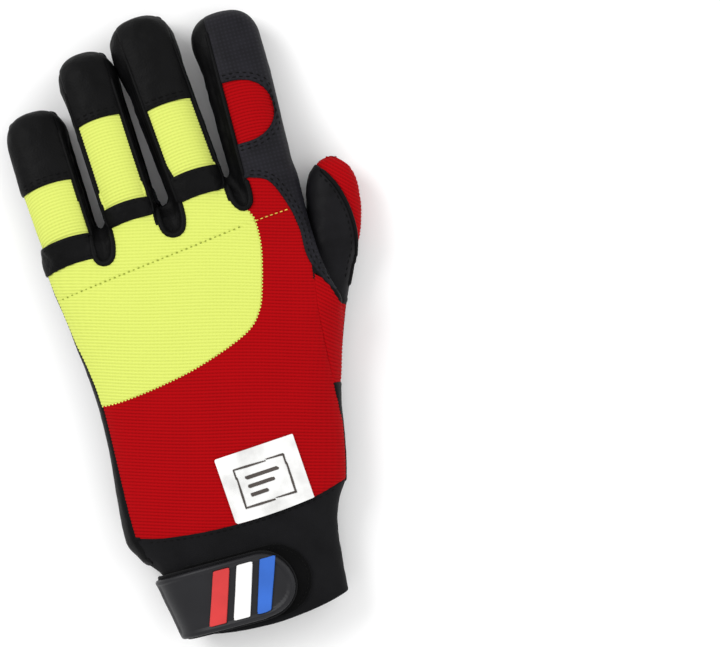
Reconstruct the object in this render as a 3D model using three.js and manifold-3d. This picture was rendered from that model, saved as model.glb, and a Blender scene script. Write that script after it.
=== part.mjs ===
// A left-hand chainsaw work glove, lying on its palm with the thumb folded beside the index finger.
// It is a hollow shell cut along its seams into sewn panels, with pads, strap and label laid on the outside.
// Millimetres, +Z up, +Y towards the fingertips, +X towards the thumb.
import * as THREE from "three";
import { mergeVertices } from "three/addons/utils/BufferGeometryUtils.js";
import Module from "manifold-3d";

const wasm = await Module();
wasm.setup();

// Driving dimensions
const palmWidth = 112;
const palmLength = 135; // cuff seam to the finger crotches
const palmHeight = 36; // thickest point of the filled glove
const cuffLength = 50;
const wall = 2.2;
const seamGap = 0.3;
const seamHeight = 13.5; // where the back panels meet the palm leather at the outer sides
const gussetHeight = 9; // where the thumb's gusset meets the palm leather
const padThickness = 1.2;
const loopTapeThickness = 1.0;
const strapThickness = 1.2;
const badgeThickness = 1.8;
const badgeBarThickness = 0.6;
const badgeRim = 3.6; // from the badge's edge to its colour bars
const labelThickness = 0.6;
const labelWidth = 35;
const labelLength = 30;
const labelCentre = 15.2; // to the thumb side of the middle line
const labelTurn = THREE.MathUtils.degToRad(3.6);
const fingertipRounding = 15;
const thumbTipRounding = 17;
const thumbWidth = 23;
const thumbHeight = 21;

const tolerance = 0.091; // how far a facet may lie from the form it stands for

const baseHeight = padThickness + seamGap; // underside of the palm leather, held up by the pads

// Colours and finishes of the materials
const finishes = {
  red_fabric: { color: 0xb5121b, roughness: 0.85, metalness: 0 },
  yellow_fabric: { color: 0xe3f53a, roughness: 0.85, metalness: 0 },
  black_leather: { color: 0x151515, roughness: 0.55, metalness: 0 },
  grey_synthetic: { color: 0x39393d, roughness: 0.65, metalness: 0 },
  black_neoprene: { color: 0x141414, roughness: 0.9, metalness: 0 },
  black_rubber: { color: 0x26272a, roughness: 0.45, metalness: 0 },
  red_rubber: { color: 0xcf3f3a, roughness: 0.45, metalness: 0 },
  white_rubber: { color: 0xe8e8e6, roughness: 0.45, metalness: 0 },
  blue_rubber: { color: 0x2b5fc0, roughness: 0.45, metalness: 0 },
  label_cloth: { color: 0xf3f3f1, roughness: 0.8, metalness: 0 },
};
const material = Object.fromEntries(
  Object.entries(finishes).map(([name, look]) => [name, new THREE.MeshStandardMaterial(look)]),
);

// Plan positions are percentages of the palm's width and length.
const plan = (across, along) =>
  new THREE.Vector2((across / 100) * palmWidth, (along / 100) * palmLength);
const planPoints = (rows) => rows.map(([across, along]) => plan(across, along));
const smooth = (rows, steps) => new THREE.SplineCurve(planPoints(rows)).getPoints(steps);

// The hand and cuff, one row for each section from the cuff's hem to the finger crotches.
// along: % of palm length, or of cuff length below 0; left, right: % of palm width;
// top, leftBulge, rightBulge: heights of the crown and of the widest points, % of palm height;
// rise: how far the underside is above the base; flatLeft, flatRight: the ends of the flat underside, % of palm width;
// round: how boxy the lower thumb-side corner is, from 1.5, a chamfer, to 2.4.
const handRows = [
  { along: -100, left: -29.5, right: 32, top: 74, leftBulge: 38, rightBulge: 38, rise: 3, flatLeft: -14, flatRight: 16, round: 2.2 },
  { along: -62, left: -32.6, right: 33.4, top: 76, leftBulge: 38, rightBulge: 38, rise: 2.2, flatLeft: -16, flatRight: 18, round: 2.2 },
  { along: -36, left: -35.7, right: 34.8, top: 78, leftBulge: 38, rightBulge: 38, rise: 1.5, flatLeft: -18, flatRight: 20, round: 2.2 },
  { along: -20, left: -41.5, right: 37, top: 82, leftBulge: 40, rightBulge: 38, rise: 0.6, flatLeft: -22, flatRight: 22, round: 2.2 },
  { along: -5, left: -45, right: 40.5, top: 86, leftBulge: 42, rightBulge: 40, rise: 0, flatLeft: -26, flatRight: 24, round: 2.2 },
  { along: 5, left: -45, right: 43.8, top: 89, leftBulge: 42, rightBulge: 42, rise: 0, flatLeft: -27, flatRight: 25, round: 2.2 },
  { along: 14, left: -44, right: 46, top: 92, leftBulge: 42, rightBulge: 42, rise: 0, flatLeft: -28, flatRight: 26, round: 2.2 },
  { along: 30, left: -42, right: 49.3, top: 97, leftBulge: 42, rightBulge: 42, rise: 0, flatLeft: -29, flatRight: 26, round: 2.2 },
  { along: 43, left: -41.7, right: 54, top: 100, leftBulge: 42, rightBulge: 44, rise: 0, flatLeft: -29, flatRight: 25, round: 2.1 },
  { along: 51, left: -42.2, right: 57, top: 100, leftBulge: 42, rightBulge: 54, rise: 0, flatLeft: -30, flatRight: 23, round: 1.9 },
  { along: 56, left: -42.8, right: 58.5, top: 99, leftBulge: 42, rightBulge: 70, rise: 0, flatLeft: -30, flatRight: 21, round: 1.6 },
  { along: 62, left: -43.8, right: 56.6, top: 97, leftBulge: 42, rightBulge: 77, rise: 0, flatLeft: -31, flatRight: 19, round: 1.5 },
  { along: 72, left: -45.2, right: 54.5, top: 93, leftBulge: 42, rightBulge: 76, rise: 0, flatLeft: -32, flatRight: 19, round: 1.5 },
  { along: 82, left: -46.8, right: 53.8, top: 87, leftBulge: 43, rightBulge: 56, rise: 0, flatLeft: -33, flatRight: 31, round: 2.1 },
  { along: 90.5, left: -47.4, right: 53.8, top: 81, leftBulge: 44, rightBulge: 49, rise: 1, flatLeft: -34, flatRight: 36, round: 2.2 },
  { along: 96, left: -46.6, right: 53, top: 74, leftBulge: 44, rightBulge: 48, rise: 2.2, flatLeft: -34, flatRight: 34, round: 2.2 },
  { along: 99, left: -44, right: 51, top: 64, leftBulge: 43, rightBulge: 45, rise: 4.2, flatLeft: -34, flatRight: 38, round: 2.2 },
];
const crotchSlope = 0.09; // the finger crotches step forward towards the index finger
const crotchSlopeStart = 72; // % of palm length where that step begins
const quarterSteps = 5;
const crownPower = 2.5;
const heelPower = 2.3;

// The fingers. root: % of palm width and length; lean: degrees towards the thumb; length, width, height: mm.
// backLeft, backRight: seams of the back strip, palmLeft, palmRight: seams of the palm strip, as shares of half the width.
// bandStart, bandEnd, capStart: the ends of the knuckle band and the start of the fingertip cap, as shares of the length.
const fingers = {
  little: { root: [-35.5, 83], lean: -2.7, length: 75.5, width: 26.6, height: 20.5, backLeft: -1.2, backRight: 0.72, palmLeft: -1.2, palmRight: 0.86, bandStart: 0.07, bandEnd: 0.225, capStart: 0.545 },
  ring: { root: [-9.8, 83], lean: -3, length: 94.5, width: 25.4, height: 22.5, backLeft: -0.8, backRight: 0.74, palmLeft: -0.42, palmRight: 0.86, bandStart: 0.18, bandEnd: 0.27, capStart: 0.665 },
  middle: { root: [17.4, 83], lean: -5.1, length: 103.5, width: 28.4, height: 23.5, backLeft: -0.57, backRight: 0.86, palmLeft: -0.45, palmRight: 0.86, bandStart: 0.19, bandEnd: 0.3, capStart: 0.595 },
  index: { root: [41.1, 83], lean: 0.3, length: 96.5, width: 29.5, height: 22.5, backLeft: -0.46, backRight: 1.2, palmLeft: -0.46, palmRight: 1.2 },
};
// Sections along every finger. at: share of the length before the rounded tip; width, height: shares of the finger's own; lift: height of the centre, % of palm height.
const fingerRows = [
  { at: 0, width: 0.8, height: 0.84, lift: 46 },
  { at: 0.3, width: 0.95, height: 1.03, lift: 47 },
  { at: 0.6, width: 1.0, height: 0.99, lift: 46 },
  { at: 0.82, width: 1.02, height: 0.95, lift: 42 },
  { at: 1, width: 1.0, height: 0.9, lift: 37.5 },
];
// The rounded tip. at: share of the rounding; size: share of the last section; drop: % of palm height.
const tipRows = [
  { at: 0.36, size: 0.975, drop: 1.2 },
  { at: 0.64, size: 0.87, drop: 2.2 },
  { at: 0.84, size: 0.7, drop: 3 },
  { at: 0.96, size: 0.46, drop: 3.4 },
  { at: 1, size: 0.22, drop: 3.6 },
];
const fingerSides = 14;
const fingerPower = 2.35;
const bandArch = 1.6; // how far the cross seams bow towards the fingertip

// The thumb's centre line. across, along: % of palm width and length; lift: % of palm height; width, height: shares of the thumb's own.
const thumbRows = [
  { across: 31, along: 15, lift: 44, width: 0.8, height: 1.1 },
  { across: 38.5, along: 31, lift: 39, width: 1, height: 1.12 },
  { across: 44.2, along: 45, lift: 35, width: 1.04, height: 1.06 },
  { across: 50.7, along: 58.5, lift: 33, width: 1, height: 1 },
  { across: 57.3, along: 69.6, lift: 33, width: 0.97, height: 0.98 },
  { across: 62.6, along: 77.8, lift: 33.5, width: 0.98, height: 0.98 },
  { across: 65.2, along: 85, lift: 33.5, width: 1, height: 0.98 },
  { across: 66, along: 88.5, lift: 33.5, width: 0.97, height: 0.95 },
];
const thumbTip = { across: 68.5, along: 99.8 }; // end of the thumb, % of palm width and length

// Solids
const solidOf = (geometry) => {
  const bare = geometry.clone();
  bare.deleteAttribute("normal");
  bare.deleteAttribute("uv");
  const merged = mergeVertices(bare, 1e-4);
  return new wasm.Manifold(
    new wasm.Mesh({
      numProp: 3,
      vertProperties: new Float32Array(merged.attributes.position.array),
      triVerts: new Uint32Array(merged.index.array),
    }),
  );
};

// A closed solid through rings of equal point counts, with a fan at each end.
const loft = (rings) => {
  const sides = rings[0].length;
  const middle = (ring) => ring.reduce((sum, p) => sum.add(p), new THREE.Vector3()).divideScalar(sides);
  const vertices = [...rings.flat(), middle(rings[0]), middle(rings.at(-1))];
  const first = rings.length * sides;
  const faces = [];
  for (let i = 0; i < sides; i++) {
    const j = (i + 1) % sides;
    faces.push(first, j, i);
    faces.push(first + 1, first - sides + i, first - sides + j);
    for (let r = 0; r < rings.length - 1; r++) {
      const a = r * sides + i;
      const b = r * sides + j;
      faces.push(a, b, b + sides, a, b + sides, a + sides);
    }
  }
  const geometry = new THREE.BufferGeometry().setFromPoints(vertices);
  geometry.setIndex(faces);
  const solid = solidOf(geometry);
  if (solid.volume() > 0) return solid;
  for (let f = 0; f < faces.length; f += 3) [faces[f + 1], faces[f + 2]] = [faces[f + 2], faces[f + 1]];
  geometry.setIndex(faces);
  return solidOf(geometry);
};

// An upright prism over an outline in plan.
const tall = palmHeight * 3;
const prism = (outline, low = -tall, high = tall) => {
  const shape = new THREE.Shape(outline);
  const geometry = new THREE.ExtrudeGeometry(shape, { depth: high - low, bevelEnabled: false });
  return solidOf(geometry.translate(0, 0, low));
};

// The outline moved outwards by a distance, or inwards by a negative one.
const grow = (outline, distance) => {
  const side = THREE.ShapeUtils.isClockWise(outline) ? -1 : 1;
  const count = outline.length;
  const normal = (i) => {
    const edge = outline[(i + 1) % count].clone().sub(outline[i]).normalize();
    return new THREE.Vector2(edge.y, -edge.x).multiplyScalar(side);
  };
  return outline.map((point, i) => {
    const before = normal((i + count - 1) % count);
    const after = normal(i);
    const bisector = before.clone().add(after).normalize();
    const reach = distance / Math.max(bisector.dot(after), 0.5);
    return point.clone().addScaledVector(bisector, reach);
  });
};

// The largest body of a solid, without the slivers that a cut can leave.
const largest = (solid) =>
  solid.decompose().reduce((best, body) => (body.volume() > best.volume() ? body : best));

const union = (solids) => solids.reduce((sum, solid) => sum.add(solid));

// A quarter of a superellipse from its side to its crown, leaving out the crown's own point.
const quarter = (steps, power) =>
  Array.from({ length: steps }, (_, i) => {
    const angle = (i / steps) * (Math.PI / 2);
    return [Math.cos(angle) ** (2 / power), Math.sin(angle) ** (2 / power)];
  });

// One section of the hand, grown outwards by a distance.
const handSection = (row, grown) => {
  const length = row.along < 0 ? cuffLength : palmLength;
  const y = (row.along / 100) * length;
  const ahead = (Math.max(row.along - crotchSlopeStart, 0) / (100 - crotchSlopeStart)) * crotchSlope;
  const left = (row.left / 100) * palmWidth - grown;
  const right = (row.right / 100) * palmWidth + grown;
  const crown = (left + right) / 2;
  const top = (row.top / 100) * palmHeight + grown;
  const leftBulge = (row.leftBulge / 100) * palmHeight;
  const rightBulge = (row.rightBulge / 100) * palmHeight;
  const bottom = baseHeight + row.rise - grown;
  const flatLeft = (row.flatLeft / 100) * palmWidth;
  const flatRight = (row.flatRight / 100) * palmWidth;
  const up = quarter(quarterSteps, crownPower);
  const downLeft = quarter(quarterSteps, heelPower);
  const downRight = quarter(quarterSteps, row.round);
  const points = [
    ...up.map(([c, s]) => [crown + (right - crown) * c, rightBulge + (top - rightBulge) * s]),
    [crown, top],
    ...up.slice(1).reverse().map(([c, s]) => [crown + (left - crown) * c, leftBulge + (top - leftBulge) * s]),
    ...downLeft.map(([c, s]) => [flatLeft + (left - flatLeft) * c, leftBulge + (bottom - leftBulge) * s]),
    [flatLeft, bottom],
    [flatRight, bottom],
    ...downRight.slice(1).reverse().map(([c, s]) => [flatRight + (right - flatRight) * c, rightBulge + (bottom - rightBulge) * s]),
  ];
  return points.map(([x, z]) => new THREE.Vector3(x, y + ahead * x, z));
};

const handForm = (grown, mouth) => {
  const rings = handRows.map((row) => handSection(row, grown));
  rings[0].forEach((point) => (point.y -= mouth));
  rings.at(-1).forEach((point) => (point.y += grown));
  return loft(rings);
};

// A ring of a finger or thumb, across its plan direction.
const ringAcross = (centre, direction, halfWidth, halfHeight) =>
  Array.from({ length: fingerSides }, (_, i) => {
    const angle = ((i + 0.5) / fingerSides) * 2 * Math.PI;
    const c = Math.cos(angle);
    const s = Math.sin(angle);
    const across = Math.sign(c) * Math.abs(c) ** (2 / fingerPower) * halfWidth;
    const up = Math.sign(s) * Math.abs(s) ** (2 / fingerPower) * halfHeight;
    return new THREE.Vector3(centre.x + direction.y * across, centre.y - direction.x * across, centre.z + up);
  });

// Where a finger's own coordinates, across and along from its root, lie in plan.
const fingerPlan = (finger, across, along) => {
  const lean = THREE.MathUtils.degToRad(finger.lean);
  const direction = new THREE.Vector2(Math.sin(lean), Math.cos(lean));
  const root = plan(...finger.root);
  return new THREE.Vector2(
    root.x + direction.x * along + direction.y * across,
    root.y + direction.y * along - direction.x * across,
  );
};

const fingerForm = (finger, grown) => {
  const lean = THREE.MathUtils.degToRad(finger.lean);
  const direction = new THREE.Vector2(Math.sin(lean), Math.cos(lean));
  const straight = finger.length - fingertipRounding;
  const last = fingerRows.at(-1);
  const ring = (along, width, height, lift) => {
    const centre = fingerPlan(finger, 0, along);
    const place = new THREE.Vector3(centre.x, centre.y, (lift / 100) * palmHeight);
    return ringAcross(place, direction, (width * finger.width) / 2 + grown, (height * finger.height) / 2 + grown);
  };
  return loft([
    ...fingerRows.map((row) => ring(row.at * straight, row.width, row.height, row.lift)),
    ...tipRows.map((row) =>
      ring(
        straight + row.at * (fingertipRounding + grown),
        last.width * row.size,
        last.height * row.size,
        last.lift - row.drop,
      ),
    ),
  ]);
};

const thumbForm = (grown) => {
  const centres = [...thumbRows, thumbTip].map(({ across, along }) => plan(across, along));
  const directionAt = (i) =>
    centres[Math.min(i + 1, centres.length - 1)].clone().sub(centres[Math.max(i - 1, 0)]).normalize();
  const end = thumbRows.at(-1);
  const tipDirection = plan(thumbTip.across, thumbTip.along).sub(plan(end.across, end.along)).normalize();
  const rings = thumbRows.map((row, i) => {
    const place = new THREE.Vector3(centres[i].x, centres[i].y, (row.lift / 100) * palmHeight);
    return ringAcross(place, directionAt(i), (row.width * thumbWidth) / 2 + grown, (row.height * thumbHeight) / 2 + grown);
  });
  for (const row of tipRows) {
    const centre = plan(end.across, end.along).addScaledVector(tipDirection, row.at * (thumbTipRounding + grown));
    const place = new THREE.Vector3(centre.x, centre.y, (end.lift / 100) * palmHeight);
    rings.push(
      ringAcross(
        place,
        tipDirection,
        (end.width * row.size * thumbWidth) / 2 + grown,
        (end.height * row.size * thumbHeight) / 2 + grown,
      ),
    );
  }
  return loft(rings);
};

const gloveForm = (grown, mouth = 0) =>
  union([handForm(grown, mouth), thumbForm(grown), ...Object.values(fingers).map((finger) => fingerForm(finger, grown))]);

const outside = gloveForm(0);
const shell = outside.subtract(gloveForm(-wall, wall));

// The skin that something laid on the outside fills, from one height above the leather to another.
const layer = (low, high) => gloveForm(high).subtract(gloveForm(low));

const glove = new THREE.Group();
const addPiece = (name, solid, finish) => {
  const mesh = largest(solid.simplify(tolerance)).getMesh();
  const count = mesh.numProp;
  const positions = new Float32Array(mesh.numVert * 3);
  for (let i = 0; i < mesh.numVert; i++) positions.set(mesh.vertProperties.subarray(i * count, i * count + 3), i * 3);
  const geometry = new THREE.BufferGeometry();
  geometry.setAttribute("position", new THREE.BufferAttribute(positions, 3));
  geometry.setIndex(new THREE.BufferAttribute(new Uint32Array(mesh.triVerts), 1));
  geometry.computeVertexNormals();
  const piece = new THREE.Mesh(geometry, material[finish]);
  piece.name = name;
  glove.add(piece);
};

// What is left of the shell as panels are cut from it.
let rest = shell;
const cutPanel = (outline, low, high) => {
  const panel = rest.intersect(prism(outline, low, high));
  const reachLow = low === undefined ? low : low - seamGap;
  const reachHigh = high === undefined ? high : high + seamGap;
  rest = rest.subtract(prism(grow(outline, seamGap), reachLow, reachHigh));
  return panel;
};

// Cuff. Its seam with the hand dips in the middle, and the palm leather reaches past it at the little finger's side.
const far = 120; // beyond the glove, % of palm width and length
const cuffOutline = planPoints([
  [-far, -far],
  [far, -far],
  [far, 1],
  [42, 0.6],
  [28, -2.2],
  [8, -3.8],
  [-12, -3.8],
  [-30, -2.4],
  [-40.5, -0.8],
  [-39.8, -5.5],
  [-38.2, -9.2],
  [-60, -11.5],
]);
addPiece("cuff", cutPanel(cuffOutline), "black_neoprene");

// Finger backs: a knuckle band, a stretch window and a leather cap on three fingers
const crossSeam = (finger, along, steps = 6) =>
  Array.from({ length: steps + 1 }, (_, i) => {
    const share = (i / steps) * 2 - 1;
    return fingerPlan(finger, share * finger.width * 0.75, along + bandArch * (1 - share * share));
  });
const fingerStrip = (finger, left, right, start, end) => [
  fingerPlan(finger, (left * finger.width) / 2, start),
  fingerPlan(finger, (right * finger.width) / 2, start),
  fingerPlan(finger, (right * finger.width) / 2, end),
  fingerPlan(finger, (left * finger.width) / 2, end),
];
const pastTip = 1.2; // share of a finger's length that clears its tip
for (const name of ["little", "ring", "middle"]) {
  const finger = fingers[name];
  const start = finger.bandStart * finger.length;
  const strip = cutPanel(
    fingerStrip(finger, finger.backLeft, finger.backRight, start, pastTip * finger.length),
    seamHeight,
  );
  const band = (from, to) =>
    strip.intersect(
      prism([
        ...crossSeam(finger, from * finger.length + seamGap / 2),
        ...crossSeam(finger, to * finger.length - seamGap / 2).reverse(),
      ]),
    );
  addPiece(`knuckle_band_${name}`, band(-pastTip, finger.bandEnd), "black_leather");
  addPiece(`stretch_window_${name}`, band(finger.bandEnd, finger.capStart), "yellow_fabric");
  addPiece(`fingertip_cap_${name}`, band(finger.capStart, pastTip), "black_leather");
}

// Index finger: one grey wrap from the back round the outer side to the palm, down to the thumb crotch
const index = fingers.index;
const indexSeam = (index.backLeft * index.width) / 2;
const wrapOutline = [
  fingerPlan(index, indexSeam, pastTip * index.length),
  fingerPlan(index, indexSeam, 0.245 * index.length),
  ...smooth([[36.6, 101], [43.6, 98.3], [47.9, 90.5], [50.2, 82], [50.4, 72], [53.6, 64.9], [57, 59.6]], 12),
  plan(58.4, 59.4),
  plan(58, 66),
  plan(57, 82),
  plan(57, 100),
  fingerPlan(index, index.width, index.length * 0.5),
  fingerPlan(index, index.width, pastTip * index.length),
];
const thumbReach = thumbForm(seamGap).intersect(prism(planPoints([[30, 56], [far, 56], [far, far], [30, far]])));
const freeThumb = rest.intersect(thumbReach);
rest = rest.subtract(thumbForm(seamGap * 2).intersect(prism(planPoints([[30, 55.8], [far, 55.8], [far, far], [30, far]]))));
const wrap = cutPanel(wrapOutline);
// Windows through the wrap: stretch fabric on the back, soft leather at the two creases of the palm side
const windowBack = (() => {
  const left = indexSeam - 2;
  const low = 0.405 * index.length;
  const high = 0.685 * index.length;
  const reach = index.width * 0.44;
  const outline = [fingerPlan(index, left, low), fingerPlan(index, indexSeam + 5, low)];
  const steps = 8;
  for (let i = 0; i <= steps; i++) {
    const angle = (i / steps - 0.5) * Math.PI;
    const across = indexSeam + 5 + (reach - indexSeam - 5) * Math.cos(angle) ** 0.8;
    outline.push(fingerPlan(index, across, (low + high) / 2 + ((high - low) / 2) * Math.sin(angle)));
  }
  outline.push(fingerPlan(index, left, high));
  return outline.filter((point, i) => i === 0 || point.distanceTo(outline[i - 1]) > 0.5);
})();
const creaseWindow = (low, high, reach) => {
  const middle = ((low + high) / 2) * index.length;
  const half = ((high - low) / 2) * index.length;
  const outline = [fingerPlan(index, indexSeam - 2, middle - half)];
  const steps = 6;
  for (let i = 0; i <= steps; i++) {
    const angle = (i / steps - 0.5) * Math.PI;
    outline.push(fingerPlan(index, reach - half + half * Math.cos(angle), middle + half * Math.sin(angle)));
  }
  outline.push(fingerPlan(index, indexSeam - 2, middle + half));
  return outline;
};
const creaseTip = creaseWindow(0.58, 0.69, index.width * 0.4);
const creaseBase = creaseWindow(0.37, 0.47, index.width * 0.34);
const cutWindow = (panel, outline, low, high) => panel.subtract(prism(grow(outline, seamGap), low, high));
let indexWrap = cutWindow(wrap, windowBack, seamHeight, tall);
indexWrap = cutWindow(indexWrap, creaseTip, -tall, seamHeight);
indexWrap = cutWindow(indexWrap, creaseBase, -tall, seamHeight);
addPiece("index_wrap", indexWrap, "grey_synthetic");
addPiece("stretch_window_index", wrap.intersect(prism(windowBack, seamHeight, tall)), "red_fabric");
addPiece("index_crease_tip", wrap.intersect(prism(creaseTip, -tall, seamHeight)), "black_leather");
addPiece("index_crease_base", wrap.intersect(prism(creaseBase, -tall, seamHeight)), "black_leather");

// Thumb: a red back along the outer side, running down to the wrist, and leather round the pad side
const thumbSeam = smooth([[66.5, 101], [68, 95], [70.2, 87], [70.9, 81.5], [70, 75], [67, 68.5], [63.3, 62.5], [59.6, 56.5]], 13);
const thumbSide = [plan(66.5, far), ...thumbSeam, plan(60, 54), plan(far, 54), plan(far, far)];
const gusset = [
  ...smooth([[50.8, 69], [50.2, 61.4], [49.1, 53.8], [48.5, 44], [47.3, 30.7]], 8),
  plan(60, 29.5),
  plan(70, 54),
  plan(58.9, 55.3),
  plan(56.4, 61.6),
  plan(53.4, 65.8),
];
addPiece("thumb_back", freeThumb.intersect(prism(thumbSide)), "red_fabric");
addPiece("thumb_leather", freeThumb.subtract(prism(grow(thumbSide, seamGap))), "black_leather");
addPiece("thumb_gusset", cutPanel(gusset, gussetHeight), "red_fabric");

// Back of the hand: a bright upper panel and the main stretch panel below it
const backOutline = [
  ...smooth([[-41.2, -8], [-41.6, 8], [-41, 25], [-40.6, 43], [-41.6, 54], [-43.6, 66], [-45.3, 78], [-46.6, 90]], 11),
  plan(-47, 105),
  plan(60, 110),
  ...smooth([[49.8, 88], [51, 76], [51, 66], [49.8, 57], [48.9, 48], [48, 38], [46.4, 26], [45.6, 12], [43, 3], [41, -8]], 13),
];
const wedge = (points) => smooth(points, 14);
// The fourchettes' rolled ends on the back, one between each two fingers
const wedges = {
  little_ring: wedge([[-27.5, 104], [-27.8, 94], [-28, 90], [-26.8, 87.2], [-24.2, 86.2], [-21.4, 87.5], [-20.1, 91], [-19.7, 95], [-19.5, 104]]),
  ring_middle: wedge([[0.6, 106], [-0.4, 97], [0, 92.2], [1.6, 90], [4, 89.2], [7, 90.2], [8.6, 93.6], [9, 98], [9.6, 106]]),
  middle_index: wedge([[27.6, 108], [28, 99], [28.6, 95], [30.4, 92.4], [32.6, 91.8], [34.8, 93.2], [35.6, 96.6], [35.6, 100], [35.2, 108]]),
};
const crotchLine = { little_ring: 95, ring_middle: 98, middle_index: 99.5 }; // % of palm length
const between = { little_ring: ["little", "ring"], ring_middle: ["ring", "middle"], middle_index: ["middle", "index"] };
const palmStrip = (finger, grown) =>
  prism(
    grow(fingerStrip(finger, finger.palmLeft, finger.palmRight, -0.2 * finger.length, pastTip * finger.length), grown),
    -tall,
    seamHeight + grown,
  );
for (const [name, [first, second]] of Object.entries(between)) {
  const zone = (grown) => {
    const low = (crotchLine[name] / 100) * palmLength - fingers[first].root[1] * palmLength / 100 - grown;
    const sides = [
      fingerPlan(fingers[first], grown, low),
      fingerPlan(fingers[second], -grown, low),
      fingerPlan(fingers[second], -grown, pastTip * fingers[second].length),
      fingerPlan(fingers[first], grown, pastTip * fingers[first].length),
    ];
    const full = prism(sides);
    const rolled = prism(grow(wedges[name], grown), seamHeight - grown, tall);
    return full.add(rolled);
  };
  const strips = (grown) => union([palmStrip(fingers[first], grown), palmStrip(fingers[second], grown)]);
  const fourchette = rest.intersect(zone(0)).subtract(strips(seamGap));
  rest = rest.subtract(zone(seamGap).subtract(strips(0)));
  addPiece(`fourchette_${name}`, fourchette, "black_leather");
}

const back = cutPanel(backOutline, seamHeight + 1);
const brightOutline = [
  plan(-60, 42.8),
  ...smooth([[-41.8, 42.9], [-33.5, 42.7], [-21, 43.7], [-4.5, 46.2], [10.6, 50], [21.9, 54.2], [27.3, 58.9], [30.6, 65.4], [34.3, 77.8], [34.8, 86.9], [33.4, 90.4]], 16),
  plan(33, 96),
  plan(30, 130),
  plan(-60, 130),
];
addPiece("bright_panel", back.intersect(prism(brightOutline)), "yellow_fabric");
addPiece("back_panel", back.subtract(prism(grow(brightOutline, seamGap))), "red_fabric");
addPiece("palm_leather", rest, "black_leather");

// Pads on the palm side
const padLayer = layer(seamGap, seamGap + padThickness).intersect(
  prism(planPoints([[-far, -far], [far, -far], [far, far * 2], [-far, far * 2]]), -tall, seamHeight),
);
const pads = {
  upper_palm: smooth([[-39.5, 76.8], [7.6, 74.9], [44, 76.4], [48.6, 80], [48.8, 86], [43.4, 92.4], [35, 94.2], [27.8, 99.2], [22.2, 108.7], [17.3, 111], [13.6, 107.6], [12.9, 97.9], [8.3, 93.9], [2.4, 96.4], [-1.5, 107], [-6.6, 110], [-11.3, 102.6], [-12.9, 92.7], [-18.7, 90.1], [-26.2, 96.1], [-30.8, 103.6], [-35.2, 105.3], [-39, 102.5], [-41, 92], [-41.5, 82], [-39.5, 76.8]], 52).slice(0, -1),
  hypothenar: smooth([[-39, 68], [-33.1, 71.4], [-14.2, 72.4], [5.5, 72], [9, 69.2], [6.5, 63], [-2, 51.3], [-7, 36.4], [-9.4, 22.9], [-13.3, 19.9], [-18.8, 18.4], [-25.1, 18.7], [-33, 24], [-37, 44], [-39, 68]], 34).slice(0, -1),
  thenar: smooth([[13.4, 71.5], [18, 73], [31.3, 73], [40.5, 69.5], [43.5, 65.5], [42.4, 61], [37.6, 46], [30.9, 27], [27.5, 20.4], [14.2, 16.7], [0.6, 15.7], [-5.7, 19.1], [-4.1, 30.7], [-0.4, 43.6], [8, 55.6], [11.8, 65.1], [13.4, 71.5]], 36).slice(0, -1),
};
for (const [name, outline] of Object.entries(pads)) {
  addPiece(`pad_${name}`, padLayer.intersect(prism(outline)), "grey_synthetic");
}
const fingerPads = [
  { name: "pad_tip_little", finger: "little", from: 0.63, to: 0.95 },
  { name: "pad_tip_ring", finger: "ring", from: 0.66, to: 0.96 },
  { name: "pad_middle_ring", finger: "ring", from: 0.44, to: 0.58 },
  { name: "pad_tip_middle", finger: "middle", from: 0.6, to: 0.96 },
  { name: "pad_middle_middle", finger: "middle", from: 0.405, to: 0.53 },
];
const padInset = 0.09; // pads stop short of the side seams, share of half the width
for (const { name, finger, from, to } of fingerPads) {
  const own = fingers[finger];
  const left = Math.max(own.palmLeft, -0.84) + padInset;
  const outline = fingerStrip(own, left, own.palmRight - padInset, from * own.length, to * own.length);
  addPiece(name, padLayer.intersect(prism(outline)), "grey_synthetic");
}
const thumbPad = smooth([[59, 79.8], [64, 77.5], [67.5, 80], [67.4, 86], [66.2, 92.5], [63, 94], [59.6, 91.5], [57.4, 86], [59, 79.8]], 16).slice(0, -1);
addPiece("pad_tip_thumb", padLayer.intersect(prism(thumbPad)), "grey_synthetic");

// Wrist strap: loop tape on the cuff, the strap over it, and a rubber badge with colour bars on top
const cuffPlan = (across, along) => new THREE.Vector2((across / 100) * palmWidth, (along / 100) * cuffLength);
const rounded = (left, right, low, high) => {
  const radius = (high - low) / 2;
  const points = [new THREE.Vector2(left, low)];
  const steps = 8;
  for (let i = 0; i <= steps; i++) {
    const angle = (i / steps - 0.5) * Math.PI;
    points.push(new THREE.Vector2(right - radius + radius * Math.cos(angle), low + radius + radius * Math.sin(angle)));
  }
  points.push(new THREE.Vector2(left, high));
  return points;
};
const strapLow = cuffPlan(0, -97).y;
const strapHigh = cuffPlan(0, -37).y;
const strapTip = cuffPlan(14.5, 0).x;
const tapeTip = cuffPlan(20.5, 0).x;
const strapFoot = cuffPlan(-9, 0).x; // where the strap is sewn on under the cuff
const beyond = cuffPlan(-60, 0).x;
const laidOn = (outlineTop, outlineUnder, low, high) => {
  const skin = layer(low, high);
  const over = skin.intersect(prism(outlineTop, seamHeight, tall));
  const under = skin.intersect(prism(outlineUnder, -tall, seamHeight));
  return over.add(under);
};
const under = (right, low, high) => [
  new THREE.Vector2(beyond, low),
  new THREE.Vector2(right, low),
  new THREE.Vector2(right, high),
  new THREE.Vector2(beyond, high),
];
const tapeSkin = [seamGap, seamGap + loopTapeThickness];
const strapSkin = [tapeSkin[1] + seamGap, tapeSkin[1] + seamGap + strapThickness];
const badgeSkin = [strapSkin[1] + seamGap, strapSkin[1] + seamGap + badgeThickness];
const barSkin = [badgeSkin[1] + seamGap, badgeSkin[1] + seamGap + badgeBarThickness];
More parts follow.
